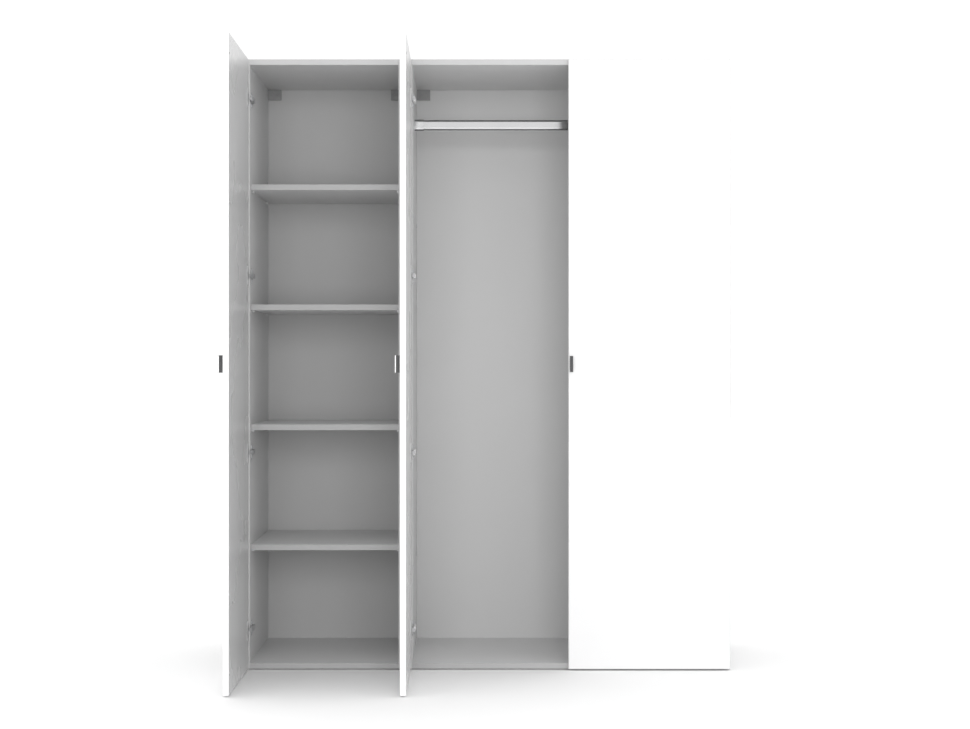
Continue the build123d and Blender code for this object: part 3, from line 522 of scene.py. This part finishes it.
def ring(bm, radius, steps=32, at=(0, 0)):
    bmesh.ops.create_circle(bm, radius=radius, segments=steps, matrix=Matrix.Translation((*at, 0)))


def roundedRing(bm, width, height, corner, steps=6, at=(0, 0)):
    # a flat face with its four points rounded, of which only the outline is kept
    made = bmesh.ops.create_grid(bm, x_segments=1, y_segments=1, size=0.5)["verts"]
    bmesh.ops.scale(bm, vec=(width, height, 1), verts=made)
    bmesh.ops.translate(bm, vec=(*at, 0), verts=made)
    bmesh.ops.bevel(bm, geom=made, offset=corner, segments=steps, profile=0.5, affect="VERTICES", material=-1)
    bmesh.ops.delete(bm, geom=bm.faces[:], context="FACES_ONLY")


def soften(bm, width, steps, chosen):
    sharp = [edge for edge in bm.edges if len(edge.link_faces) == 2
             and edge.calc_face_angle(0.0) > math.radians(50) and chosen(edge)]
    bmesh.ops.bevel(bm, geom=sharp, offset=width, segments=steps, profile=0.5, affect="EDGES",
                    material=-1, clamp_overlap=True)


def plateShape(draw, thickness, soft=0.0, steps=2, topOnly=False):
    # a plate from outlines: the first is its rim and the others are holes through it
    bm = bmesh.new()
    draw(bm)
    bmesh.ops.triangle_fill(bm, use_beauty=True, edges=bm.edges[:], normal=(0, 0, 1))
    bmesh.ops.dissolve_limit(bm, angle_limit=0.01, verts=bm.verts[:], edges=bm.edges[:])
    pulled = bmesh.ops.extrude_face_region(bm, geom=bm.faces[:], use_keep_orig=True)["geom"]
    raised = [part for part in pulled if isinstance(part, bmesh.types.BMVert)]
    bmesh.ops.translate(bm, vec=(0, 0, thickness), verts=raised)
    bmesh.ops.recalc_face_normals(bm, faces=bm.faces[:])
    if soft:
        soften(bm, soft, steps, lambda edge: not topOnly or min(v.co.z for v in edge.verts) > 0.6 * thickness)
    return keepShape(bm)


def spinShape(profile, steps):
    # profile points are (radius, height)
    bm = bmesh.new()
    points = [bm.verts.new((radius, 0, height)) for radius, height in profile]
    lines = [bm.edges.new(pair) for pair in zip(points, points[1:])]
    bmesh.ops.spin(bm, geom=points + lines, cent=(0, 0, 0), axis=(0, 0, 1), dvec=(0, 0, 0),
                   angle=2 * math.pi, steps=steps, use_merge=True)
    return keepShape(bm)


def blockShape(low, high, soft, steps=2):
    bm = bmesh.new()
    made = bmesh.ops.create_cube(bm, size=1.0)["verts"]
    low, high = Vector(low), Vector(high)
    bmesh.ops.scale(bm, vec=high - low, verts=made)
    bmesh.ops.translate(bm, vec=(high + low) / 2, verts=made)
    soften(bm, soft, steps, lambda edge: True)
    return keepShape(bm)


crossReach = {0: 1.0, 15: 1.0, 30: 0.52, 45: 0.37}     # outline of a cross recess, by angle from an arm


def screwShape(radius, height, crown, recess, shank=0.0, length=0.0):
    # head with a crowned top and a cross recess, its underside at height 0, and the shank below
    bm = bmesh.new()
    middle = Matrix.Translation((0, 0, height / 2))
    bmesh.ops.create_cone(bm, cap_ends=True, segments=24, radius1=radius, radius2=radius,
                          depth=height, matrix=middle)
    top = max(bm.faces, key=lambda face: face.calc_center_median().z)
    bmesh.ops.inset_individual(bm, faces=[top], thickness=0.1 * radius, depth=0.0)
    rim = [edge for edge in bm.edges if min(v.co.z for v in edge.verts) > 0.9 * height
           and max((v.co.xy.length for v in edge.verts)) > 0.95 * radius and edge.calc_face_angle(0.0) > 1]
    bmesh.ops.bevel(bm, geom=rim, offset=0.08 * radius, segments=2, profile=0.5, affect="EDGES", material=-1)
    bmesh.ops.inset_individual(bm, faces=[top], thickness=0.24 * radius, depth=crown)
    for vert in top.verts:
        turn = math.degrees(math.atan2(vert.co.y, vert.co.x)) % 90
        vert.co.xy *= crossReach[round(min(turn, 90 - turn) / 15) * 15]
    bmesh.ops.inset_individual(bm, faces=[top], thickness=0.05 * radius, depth=-recess)
    if length:
        tip = Matrix.Translation((0, 0, -length / 2))
        bmesh.ops.create_cone(bm, cap_ends=True, segments=16, radius1=0.6 * shank, radius2=shank,
                              depth=length, matrix=tip)
    return keepShape(bm)


standing = Matrix.Rotation(math.radians(90), 4, "X")    # a profile drawn flat, stood up: its y becomes Z


def put(bm, shape, place):
    # a mirrored place turns the faces over, so they are turned back
    before = len(bm.verts)
    facesBefore = len(bm.faces)
    bm.from_mesh(shape)
    bm.verts.ensure_lookup_table()
    bm.faces.ensure_lookup_table()
    bmesh.ops.transform(bm, matrix=place, verts=bm.verts[before:])
    if place.determinant() < 0:
        bmesh.ops.reverse_faces(bm, faces=bm.faces[facesBefore:])


def move(x, y, z=0.0):
    return Matrix.Translation((x, y, z))


def addPiece(name, bm, material, body, slotName, *stoodFor):
    mesh = bpy.data.meshes.new(name)
    bm.to_mesh(mesh)
    bm.free()
    mesh.shade_smooth()
    mesh.set_sharp_from_angle(angle=math.radians(38))
    mesh.materials.append(material)
    piece = bpy.data.objects.new(name, mesh)
    scene.collection.objects.link(piece)
    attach(piece, body)
    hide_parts(*stoodFor)


def setting(across, up, out, origin):
    # matrix whose X, Y and Z run across, up and out of a face
    place = Matrix((across, up, out)).transposed().to_4x4()
    place.translation = origin
    return place


def localBox(node, place):
    low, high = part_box(node)
    back = place.inverted()
    corners = [back @ Vector(corner) for corner in (low, high)]
    return (Vector(map(min, *corners)), Vector(map(max, *corners)))


def doorSetting(door):
    # X from the swing axis across the door, Y up, Z through it towards the inside
    low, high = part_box(f"{door}_door")
    cupLow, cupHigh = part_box(f"{door}_hinge_cups")
    pivot = Vector(joints[f"{door}_door_swing"]["pos_m"])
    thin = 0 if high.x - low.x < high.y - low.y else 1
    out, across = Vector((0, 0, 0)), Vector((0, 0, 0))
    out[thin] = math.copysign(1, cupLow[thin] + cupHigh[thin] - low[thin] - high[thin])
    across[1 - thin] = math.copysign(1, (low[1 - thin] + high[1 - thin]) / 2 - pivot[1 - thin])
    return setting(across, (0, 0, 1), out, (pivot.x, pivot.y, 0))


def sideSetting(node):
    # X back from the carcass front, Y up, Z out of the side panel that the node is fixed to
    low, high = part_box(node)
    faces = [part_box(f"{panel}_side") for panel in ("left_frame_left", "left_frame_right",
                                                    "right_frame_left", "right_frame_right")]
    reach = [(abs(low.x - box[1].x), box[1].x, 1) for box in faces]
    reach += [(abs(high.x - box[0].x), box[0].x, -1) for box in faces]
    faceX, hand = min(reach)[1:]
    return setting((0, 1, 0), (0, 0, 1), (hand, 0, 0), (faceX, frontOfCarcass, 0))


def spread(low, high, count):
    return [low + (high - low) * step / (count - 1) for step in range(count)]


print("shape helpers ready")

# pulls: an angle profile with a web on the door and a lip over the free edge
pull = {"web": 5.0 * mm, "lip": 4.0 * mm, "round": 1.1 * mm, "steps": 4, "inner": 1.4 * mm}


def pullShape(width, projection, length):
    def draw(bm):
        corners = [(0, 0), (pull["web"], 0), (pull["web"], -(projection - pull["lip"])),
                   (width, -(projection - pull["lip"])), (width, -projection), (0, -projection)]
        points = [bm.verts.new((x, y, 0)) for x, y in corners]
        bm.faces.new(points)
        bmesh.ops.bevel(bm, geom=[points[2]], offset=pull["inner"], segments=pull["steps"], profile=0.5,
                        affect="VERTICES", material=-1)
        bmesh.ops.bevel(bm, geom=points[3:], offset=pull["round"], segments=pull["steps"], profile=0.5,
                        affect="VERTICES", material=-1)
        bmesh.ops.delete(bm, geom=bm.faces[:], context="FACES_ONLY")

    return plateShape(draw, length, soft=0.5 * mm, steps=2)


for door in doorNames:
    place = doorSetting(door)
    low, high = localBox(f"{door}_handle", place)
    shape = pullShape(high.x - low.x, high.z - low.z, high.y - low.y)
    bm = bmesh.new()
    put(bm, shape, place @ move(low.x, high.y, high.z) @ standing)
    doorLow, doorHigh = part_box(f"{door}_door")
    along = 0 if doorHigh.x - doorLow.x > doorHigh.y - doorLow.y else 1
    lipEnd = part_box(f"{door}_handle")[0][along]
    # the lip end of each pull gets a painted highlight
    pullMetal = plasticFinish(f"{door}PullMetal", {**pullValues, "tip": (along, lipEnd)})
    addPiece(f"{door}_pull", bm, pullMetal, f"{door}_door", "dark_handle", f"{door}_handle")
print("pulls made")

# hinge cups: a flange screwed to the door round a drawn cup with a rolled rim
cup = {
    "flangeWidth": 26.0 * mm, "flangeHeight": 60.0 * mm, "corner": 5.0 * mm, "flangeShift": 3.0 * mm,
    "flange": 1.2 * mm, "full": 1.5 * mm, "radius": 17.5 * mm, "wall": 1.0 * mm, "depth": 12.0 * mm,
    "rim": 1.5 * mm, "screwGap": 48.0 * mm, "screwShift": 6.0 * mm, "screwHole": 3.55 * mm,
}
doorScrew = {"radius": 3.4 * mm, "head": 1.0 * mm, "recess": 0.7 * mm, "shank": 1.7 * mm, "length": 10.0 * mm}
pullScrew = {"radius": 3.4 * mm, "head": 2.0 * mm, "sink": 3.0 * mm, "recess": 1.2 * mm, "shank": 1.5 * mm,
             "length": 22.0 * mm, "gap": 32.0 * mm}


def flangeOutline(bm):
    roundedRing(bm, cup["flangeWidth"], cup["flangeHeight"], cup["corner"], at=(cup["flangeShift"], 0))
    ring(bm, cup["radius"] - 0.3 * mm, 48)
    for end in (-1, 1):
        ring(bm, cup["screwHole"], 20, at=(cup["screwShift"], end * cup["screwGap"] / 2))


flangeShape = plateShape(flangeOutline, cup["flange"], soft=0.3 * mm, steps=2, topOnly=True)
inner = cup["radius"] - cup["wall"]
rimOuter = cup["radius"] + cup["rim"]
cupShape = spinShape([
    (0, -cup["depth"] + cup["wall"]), (inner - 2.5 * mm, -cup["depth"] + cup["wall"]),
    (inner - 0.8 * mm, -cup["depth"] + 1.5 * cup["wall"]), (inner, -cup["depth"] + 3.2 * mm),
    (inner, 0.3 * mm), (inner + 0.3 * mm, 1.1 * mm), (inner + 0.9 * mm, cup["full"]),
    (rimOuter - 0.8 * mm, cup["full"]), (rimOuter - 0.2 * mm, cup["full"] - 0.3 * mm), (rimOuter, 0.6 * mm),
    (rimOuter, 0.0), (cup["radius"], 0.0), (cup["radius"], -cup["depth"] + 1.5 * mm),
    (cup["radius"] - 1.5 * mm, -cup["depth"]), (0, -cup["depth"]),
], steps=56)
flangeScrew = screwShape(doorScrew["radius"], doorScrew["head"], 0.0, doorScrew["recess"],
                         doorScrew["shank"], doorScrew["length"])
backScrew = screwShape(pullScrew["radius"], pullScrew["head"], 0.15 * mm, pullScrew["recess"],
                       pullScrew["shank"], pullScrew["length"])
padShape = spinShape([(0, 1.5 * mm), (2.2 * mm, 1.44 * mm), (3.2 * mm, 1.15 * mm), (3.8 * mm, 0.6 * mm),
                      (4.0 * mm, 0.0), (0, 0)], steps=28)

for door in doorNames:
    place = doorSetting(door)
    low, high = localBox(f"{door}_hinge_cups", place)
    doorHigh = localBox(f"{door}_door", place)[1]
    cupX = (low.x + high.x) / 2
    heights = spread(low.y + cup["flangeHeight"] / 2, high.y - cup["flangeHeight"] / 2, hingesPerDoor)
    bm = bmesh.new()
    screws = bmesh.new()
    for height in heights:
        put(bm, flangeShape, place @ move(cupX, height, doorHigh.z))
        put(bm, cupShape, place @ move(cupX, height, doorHigh.z))
        for end in (-1, 1):
            at = (cupX + cup["screwShift"], height + end * cup["screwGap"] / 2,
                  doorHigh.z + cup["full"] - doorScrew["head"])
            put(screws, flangeScrew, place @ move(*at))
    addPiece(f"{door}_cup_set", bm, hingeNickel, f"{door}_door", "nickel_steel", f"{door}_hinge_cups")
    pullLow, pullHigh = localBox(f"{door}_handle", place)
    for end in (-1, 1):
        at = (pullLow.x + pull["web"] / 2, (pullLow.y + pullHigh.y + end * pullScrew["gap"]) / 2,
              doorHigh.z - pullScrew["sink"])
        put(screws, backScrew, place @ move(*at))
    addPiece(f"{door}_screw_set", screws, screwZinc, f"{door}_door", "zinc_screw", f"{door}_door_screws")
    padLow, padHigh = localBox(f"{door}_door_bumpers", place)
    pads = bmesh.new()
    padRadius = (padHigh.x - padLow.x) / 2
    for height in (padLow.y + padRadius, padHigh.y - padRadius):
        put(pads, padShape, place @ move((padLow.x + padHigh.x) / 2, height, padLow.z))
    addPiece(f"{door}_pad_set", pads, clearPad, f"{door}_door", "clear_bumper", f"{door}_door_bumpers")
    dress(f"{door}_hinge_links", shadedNickel)
print("cups, door screws and pads made")

# hinge plates and arms on the side panels
wing = {"width": 20.0 * mm, "height": 50.0 * mm, "corner": 6.0 * mm, "thick": 2.0 * mm, "row": 37.0 * mm,
        "hole": 2.6 * mm, "gap": 32.0 * mm, "ridge": (20.0 * mm, 62.0 * mm), "ridgeHeight": 14.0 * mm,
        "ridgeRise": 4.0 * mm}
arm = {"start": 6.0 * mm, "end": 66.0 * mm, "height": 16.0 * mm, "rise": 6.0 * mm, "cap": 2.5 * mm,
       "corner": 3.0 * mm, "hole": 3.6 * mm, "rows": (26.0 * mm, 52.0 * mm), "cheek": 2.5 * mm,
       "noseHeight": 14.0 * mm, "noseRadius": 3.0 * mm, "pinHole": 1.25 * mm}
wingScrew = {"radius": 4.0 * mm, "head": 1.5 * mm, "recess": 1.0 * mm, "shank": 2.4 * mm, "length": 13.0 * mm}
turnScrew = {"radius": 3.4 * mm, "head": 2.3 * mm, "recess": 1.1 * mm}


def wingOutline(bm):
    roundedRing(bm, wing["width"], wing["height"], wing["corner"], at=(wing["row"], 0))
    for end in (-1, 1):
        ring(bm, wing["hole"], 20, at=(wing["row"], end * wing["gap"] / 2))


def armRim(bm):
    length = arm["end"] - arm["start"]
    roundedRing(bm, length, arm["height"], arm["corner"], at=((arm["start"] + arm["end"]) / 2, 0))


def armOutline(bm):
    armRim(bm)
    for row in arm["rows"]:
        ring(bm, arm["hole"], 24, at=(row, 0))


def cheekOutline(pinX, pinZ):
    def draw(bm):
        back = arm["start"] + arm["corner"]
        front = pinX - arm["noseRadius"]
        roundedRing(bm, back - front, 2 * arm["noseRadius"], 0.999 * arm["noseRadius"],
                    at=((back + front) / 2, pinZ))
        ring(bm, arm["pinHole"], 20, at=(pinX, pinZ))

    return draw


wingShape = plateShape(wingOutline, wing["thick"], soft=0.4 * mm, topOnly=True)
ridgeShape = blockShape((wing["ridge"][0], -wing["ridgeHeight"] / 2, 0),
                        (wing["ridge"][1], wing["ridgeHeight"] / 2, wing["ridgeRise"]), 0.8 * mm)
capShape = plateShape(armOutline, arm["cap"], soft=0.8 * mm, steps=3, topOnly=True)
wingScrewShape = screwShape(wingScrew["radius"], wingScrew["head"], 0.2 * mm, wingScrew["recess"],
                            wingScrew["shank"], wingScrew["length"])
turnScrewShape = screwShape(turnScrew["radius"], turnScrew["head"], 0.0, turnScrew["recess"])

armBodyShape = plateShape(armRim, arm["rise"] - arm["cap"])
wingScrews = bmesh.new()
turnScrews = bmesh.new()
for door in doorNames:
    place = sideSetting(f"{door}_hinge_plates")
    low, high = localBox(f"{door}_hinge_plates", place)
    heights = spread(low.y + wing["height"] / 2, high.y - wing["height"] / 2, hingesPerDoor)
    pin = place.inverted() @ Vector(joints[f"{door}_link_swing"]["pos_m"])
    cheekShape = plateShape(cheekOutline(pin.x, pin.z), arm["cheek"], soft=0.4 * mm)
    wings = bmesh.new()
    arms = bmesh.new()
    for height in heights:
        put(wings, wingShape, place @ move(0, height))
        put(wings, ridgeShape, place @ move(0, height))
        put(arms, armBodyShape, place @ move(0, height, wing["ridgeRise"]))
        put(arms, capShape, place @ move(0, height, wing["ridgeRise"] + arm["rise"] - arm["cap"]))
        for top in (arm["noseHeight"] / 2, arm["cheek"] - arm["noseHeight"] / 2):
            put(arms, cheekShape, place @ move(0, height + top) @ standing)
        for end in (-1, 1):
            put(wingScrews, wingScrewShape,
                place @ move(wing["row"], height + end * wing["gap"] / 2, wing["thick"]))
        for row in arm["rows"]:
            put(turnScrews, turnScrewShape,
                place @ move(row, height, wing["ridgeRise"] + arm["rise"] - arm["cap"]))
    addPiece(f"{door}_plate_set", wings, shadedNickel, "carcass", "nickel_steel", f"{door}_hinge_plates")
    addPiece(f"{door}_arm_set", arms, armFinish[door], "carcass", "nickel_steel", f"{door}_hinge_arms")
addPiece("plate_screw_set", wingScrews, screwZinc, "carcass", "zinc_screw", "hinge_plate_screws")
addPiece("adjuster_set", turnScrews, screwZinc, "carcass", "zinc_screw", "hinge_adjusting_screws")
dress("hinge_arm_pins", shadedNickel)
print("hinge plates and arms made")

# wall hangers: a moulded cover in each top corner, two screws, and a hook behind the back
hanger = {"round": 1.5 * mm, "steps": 3, "hole": 3.0 * mm, "gap": 20.0 * mm, "sink": 3.0 * mm,
          "corner": 1.2 * mm}
hangerScrew = {"radius": 2.9 * mm, "head": 2.0 * mm, "recess": 1.0 * mm}
frontSetting = setting((1, 0, 0), (0, 0, 1), (0, -1, 0), (0, 0, 0))
hangerScrewShape = screwShape(hangerScrew["radius"], hangerScrew["head"], 0.0, hangerScrew["recess"])
hangerScrews = bmesh.new()


def coverOutline(width, height):
    def draw(bm):
        roundedRing(bm, width, height, hanger["corner"])
        for end in (-1, 1):
            ring(bm, hanger["hole"], 24, at=(end * hanger["gap"] / 2, 0))

    return draw


for index in range(hangerCount):
    low, high = localBox(f"wall_hanger_{index + 1}", frontSetting)
    size = high - low
    middle = (low + high) / 2
    bm = bmesh.new()
    cover = plateShape(coverOutline(size.x, size.y), size.z, soft=hanger["round"] / 2, steps=hanger["steps"],
                       topOnly=True)
    put(bm, cover, frontSetting @ move(middle.x, middle.y, low.z))
    addPiece(f"hanger_cover_{index + 1}", bm, hangerPlastic, "carcass", "grey_plastic",
             f"wall_hanger_{index + 1}")
    for end in (-1, 1):
        at = (middle.x + end * hanger["gap"] / 2, middle.y, high.z - hanger["sink"])
        put(hangerScrews, hangerScrewShape, frontSetting @ move(*at))
addPiece("hanger_screw_set", hangerScrews, hangerPlastic, "carcass", "zinc_screw", "wall_hanger_screws")

hook = {"width": 22.0 * mm, "neck": 6.0 * mm, "height": 26.0 * mm, "thick": 3.0 * mm, "corner": 2.0 * mm,
        "soft": 0.5 * mm}
hookPlate = plateShape(lambda bm: roundedRing(bm, hook["width"], hook["height"], hook["corner"]),
                       hook["thick"], soft=hook["soft"])
hooks = bmesh.new()
hookLow, hookHigh = localBox("wall_hanger_hooks", frontSetting)
neckShape = blockShape((-hook["width"] / 2, -hook["neck"] / 2, 0),
                       (hook["width"] / 2, hook["neck"] / 2, hookHigh.z - hookLow.z), 0.4 * mm)
for index in range(hangerCount):
    low, high = localBox(f"wall_hanger_{index + 1}", frontSetting)
    at = ((low.x + high.x) / 2, (hookLow.y + hookHigh.y) / 2, hookLow.z)
    put(hooks, hookPlate, frontSetting @ move(*at))
    put(hooks, neckShape, frontSetting @ move(*at))
addPiece("hanger_hook_set", hooks, screwZinc, "carcass", "zinc_screw", "wall_hanger_hooks")
print("wall hangers made")

# rail brackets: an oval cup round the end of the tube, screwed through its floor
bracket = {"base": 2.5 * mm, "wall": 1.6 * mm, "rail": (17.0 * mm, 34.0 * mm), "screwGap": 16.0 * mm,
           "hole": 2.1 * mm, "rim": 0.5 * mm, "steps": 14}
railScrew = {"radius": 4.0 * mm, "head": 1.5 * mm, "recess": 1.0 * mm, "shank": 1.9 * mm, "length": 15.0 * mm}
railScrewShape = screwShape(railScrew["radius"], railScrew["head"], 0.25 * mm, railScrew["recess"],
                            railScrew["shank"], railScrew["length"])
railScrews = bmesh.new()


def ovalRing(bm, spare):
    width, height = (size + 2 * spare for size in bracket["rail"])
    roundedRing(bm, width, height, 0.4995 * width, steps=bracket["steps"])


def cupFloorOutline(bm):
    ovalRing(bm, bracket["wall"])
    for end in (-1, 1):
        ring(bm, bracket["hole"], 20, at=(0, end * bracket["screwGap"] / 2))


def collarOutline(bm):
    ovalRing(bm, bracket["wall"])
    ovalRing(bm, 0.0)


for end in ("left", "right"):
    node = f"rail_bracket_{end}"
    place = sideSetting(node)
    low, high = localBox(node, place)
    middle = (low + high) / 2
    cupFloor = plateShape(cupFloorOutline, bracket["base"])
    collar = plateShape(collarOutline, high.z - bracket["base"], soft=bracket["rim"], topOnly=True)
    bm = bmesh.new()
    put(bm, cupFloor, place @ move(middle.x, middle.y))
    put(bm, collar, place @ move(middle.x, middle.y, bracket["base"]))
    addPiece(f"rail_collar_{end}", bm, bracketMetal, "carcass", "bracket_metal", node)
    for side in (-1, 1):
        put(railScrews, railScrewShape,
            place @ move(middle.x, middle.y + side * bracket["screwGap"] / 2, bracket["base"]))
addPiece("rail_screw_set", railScrews, screwZinc, "carcass", "zinc_screw", "rail_screws")
print("rail brackets made")

# shelf supports: a nickel pin with a collar and a flat-topped lug
support = {"pin": 2.5 * mm, "pinLength": 9.0 * mm, "lug": (12.0 * mm, 6.0 * mm, 7.0 * mm), "soft": 0.8 * mm}
lugDepth, lugHeight, lugOut = support["lug"]
lugShape = blockShape((-lugDepth / 2, -lugHeight / 2, 0), (lugDepth / 2, lugHeight / 2, lugOut),
                      support["soft"], 3)
pinShape = spinShape([
    (0, 0.4 * mm), (support["pin"], 0.4 * mm), (support["pin"], -support["pinLength"] + 0.6 * mm),
    (support["pin"] - 0.6 * mm, -support["pinLength"]), (0, -support["pinLength"]),
], steps=20)
supports = bmesh.new()
allLow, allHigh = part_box("shelf_supports")
for panel, hand in (("left_frame_left_side", 1), ("left_frame_right_side", -1)):
    low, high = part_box(panel)
    faceX = high.x if hand > 0 else low.x
    place = setting((0, 1, 0), (0, 0, 1), (hand, 0, 0), (faceX, 0, 0))
    for index in range(shelfCount):
        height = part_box(f"shelf_{index + 1}")[0].z - lugHeight / 2
        for row in (allLow.y + lugDepth / 2, allHigh.y - lugDepth / 2):
            put(supports, lugShape, place @ move(row, height))
            put(supports, pinShape, place @ move(row, height))
addPiece("support_set", supports, hingeNickel, "carcass", "nickel_steel", "shelf_supports")
print("shelf supports made")

# fastenings that show: cams in the tops and bottoms, frame connectors, glides
cam = {"radius": 7.45 * mm, "height": 13.0 * mm, "recess": 2.2 * mm, "distance": 34.0 * mm, "row": 60.0 * mm}
camShape = screwShape(cam["radius"], cam["height"], -0.3 * mm, cam["recess"])
cams = bmesh.new()
for side in ("left_frame", "right_frame"):
    topLow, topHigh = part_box(f"{side}_top")
    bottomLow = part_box(f"{side}_bottom")[0]
    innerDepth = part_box(f"{side}_back")[0].y - topLow.y
    for x in (topLow.x + cam["distance"], topHigh.x - cam["distance"]):
        for y in (topLow.y + cam["row"], topLow.y + innerDepth - cam["row"]):
            put(cams, camShape, move(x, y, topHigh.z - cam["height"]))
            put(cams, camShape, move(x, y, bottomLow.z + cam["height"]) @ Matrix.Rotation(math.pi, 4, "X"))
addPiece("cam_set", cams, screwZinc, "carcass", "zinc_screw", "cam_locks")

connector = {"head": 8.0 * mm, "headHeight": 1.5 * mm, "recess": 1.0 * mm,
             "sleeve": 4.0 * mm, "sleeveLength": 36.0 * mm, "screw": 2.5 * mm, "screwLength": 30.0 * mm}
for node, piece, radius, length in (
    ("frame_connector_sleeves", "connector_sleeve_set", connector["sleeve"], connector["sleeveLength"]),
    ("frame_connector_screws", "connector_screw_set", connector["screw"], connector["screwLength"]),
):
    headShape = screwShape(connector["head"], connector["headHeight"], 0.0, connector["recess"],
                           radius, length)
    low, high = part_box(node)
    hand = -1 if node.endswith("sleeves") else 1
    faceX = low.x + connector["headHeight"] if hand < 0 else high.x - connector["headHeight"]
    place = setting((0, 1, 0), (0, 0, 1), (hand, 0, 0), (faceX, 0, 0))
    bm = bmesh.new()
    for row in (low.y + connector["head"], high.y - connector["head"]):
        for height in (low.z + connector["head"], high.z - connector["head"]):
            put(bm, headShape, place @ move(row, height))
    addPiece(piece, bm, screwZinc, "carcass", "zinc_screw", node)

glide = {"radius": 10.0 * mm, "height": 3.0 * mm, "pin": 2.0 * mm, "pinLength": 12.0 * mm}
glideShape = spinShape([
    (0, 0), (glide["radius"] - 0.9 * mm, 0), (glide["radius"] - 0.2 * mm, 0.3 * mm),
    (glide["radius"], 0.9 * mm),
    (glide["radius"], glide["height"] - 0.5 * mm), (glide["radius"] - 0.5 * mm, glide["height"]),
    (glide["pin"], glide["height"]), (glide["pin"], glide["height"] + glide["pinLength"] - 1.5 * mm),
    (0.6 * glide["pin"], glide["height"] + glide["pinLength"]), (0, glide["height"] + glide["pinLength"]),
], steps=32)
glides = bmesh.new()
glideLow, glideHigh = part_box("glides")
glideColumns = []
for panel in ("left_frame_left_side", "left_frame_right_side", "right_frame_left_side",
              "right_frame_right_side", "right_frame_bottom"):
    low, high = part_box(panel)
    glideColumns.append((low.x + high.x) / 2)
for x in glideColumns:
    for y in (glideLow.y + glide["radius"], glideHigh.y - glide["radius"]):
        put(glides, glideShape, move(x, y))
addPiece("glide_set", glides, glideNylon, "carcass", "glide_plastic", "glides")
print("fastenings and glides made")

# room: pale floor, soft light all round
room = {
    "floorSize": 60.0, "floor": (0.93, 0.93, 0.93, 1), "floorShade": (0.92, 0.92, 0.92, 1),
    "skyStrength": 1.02, "skyRise": 0.25,
    "lampPlace": (0.0, -8.0, 1.5), "lampSize": 3.0, "lampPower": 215.0, "lampAim": (0.0, 0.0, 1.0),
}


def makeFloor():
    material, tree, shader, place = newFinish("paleFloor", {"Specular IOR Level": 0.2})
    drift = useGroup(tree, toneDrift, Vector=place, Scale=0.6)["Mask"]
    grain = useGroup(tree, mouldGrain, Vector=place, Scale=350.0)
    feed(tree, shader["Base Color"], mixColour(tree, drift, room["floor"], room["floorShade"]))
    feed(tree, shader["Roughness"], remap(tree, grain["Mask"], 0.0, 1.0, 0.75, 0.9))
    feed(tree, shader["Normal"], bump(tree, grain["Height"], 0.1, 0.05 * mm))
    bm = bmesh.new()
    bmesh.ops.create_grid(bm, x_segments=1, y_segments=1, size=room["floorSize"] / 2)
    mesh = bpy.data.meshes.new("floor")
    bm.to_mesh(mesh)
    bm.free()
    mesh.materials.append(material)
    floor = bpy.data.objects.new("floor", mesh)
    scene.collection.objects.link(floor)


def makeLight():
    world = bpy.data.worlds.new("softRoom")
    world.use_nodes = True
    sky = world.node_tree.nodes["Background"]
    sky.inputs["Color"].default_value = (1, 1, 1, 1)
    height = parts(world.node_tree, world.node_tree.nodes.new("ShaderNodeTexCoord").outputs["Generated"])["Z"]
    above = calc(world.node_tree, "MAXIMUM", height, 0.0)
    overhead = calc(world.node_tree, "MULTIPLY", above, room["skyRise"])
    feed(world.node_tree, sky.inputs["Strength"], calc(world.node_tree, "ADD", overhead, room["skyStrength"]))
    scene.world = world
    lamp = bpy.data.lights.new("softBox", "AREA")
    lamp.energy = room["lampPower"]
    lamp.size = room["lampSize"]
    softBox = bpy.data.objects.new("softBox", lamp)
    softBox.location = room["lampPlace"]
    aim = Vector(room["lampAim"]) - softBox.location
    softBox.rotation_euler = aim.to_track_quat("-Z", "Y").to_euler()
    softBox.visible_camera = False
    softBox.visible_glossy = False
    scene.collection.objects.link(softBox)


def makeCamera():
    view = {"place": (-0.059, -6.560, 0.972), "focal": 73.0, "sensor": 36.0, "shiftX": 0.0175, "shiftY": 0.0}
    lens = bpy.data.cameras.new("camera")
    lens.lens = view["focal"]
    lens.sensor_width = view["sensor"]
    lens.shift_x = view["shiftX"]
    lens.shift_y = view["shiftY"]
    lens.dof.use_dof = False
    camera = bpy.data.objects.new("camera", lens)
    camera.location = view["place"]
    camera.rotation_euler = (math.radians(90), 0, 0)
    scene.collection.objects.link(camera)
    bpy.context.scene.camera = camera


makeFloor()
makeLight()
makeCamera()
print("room, light and camera made")
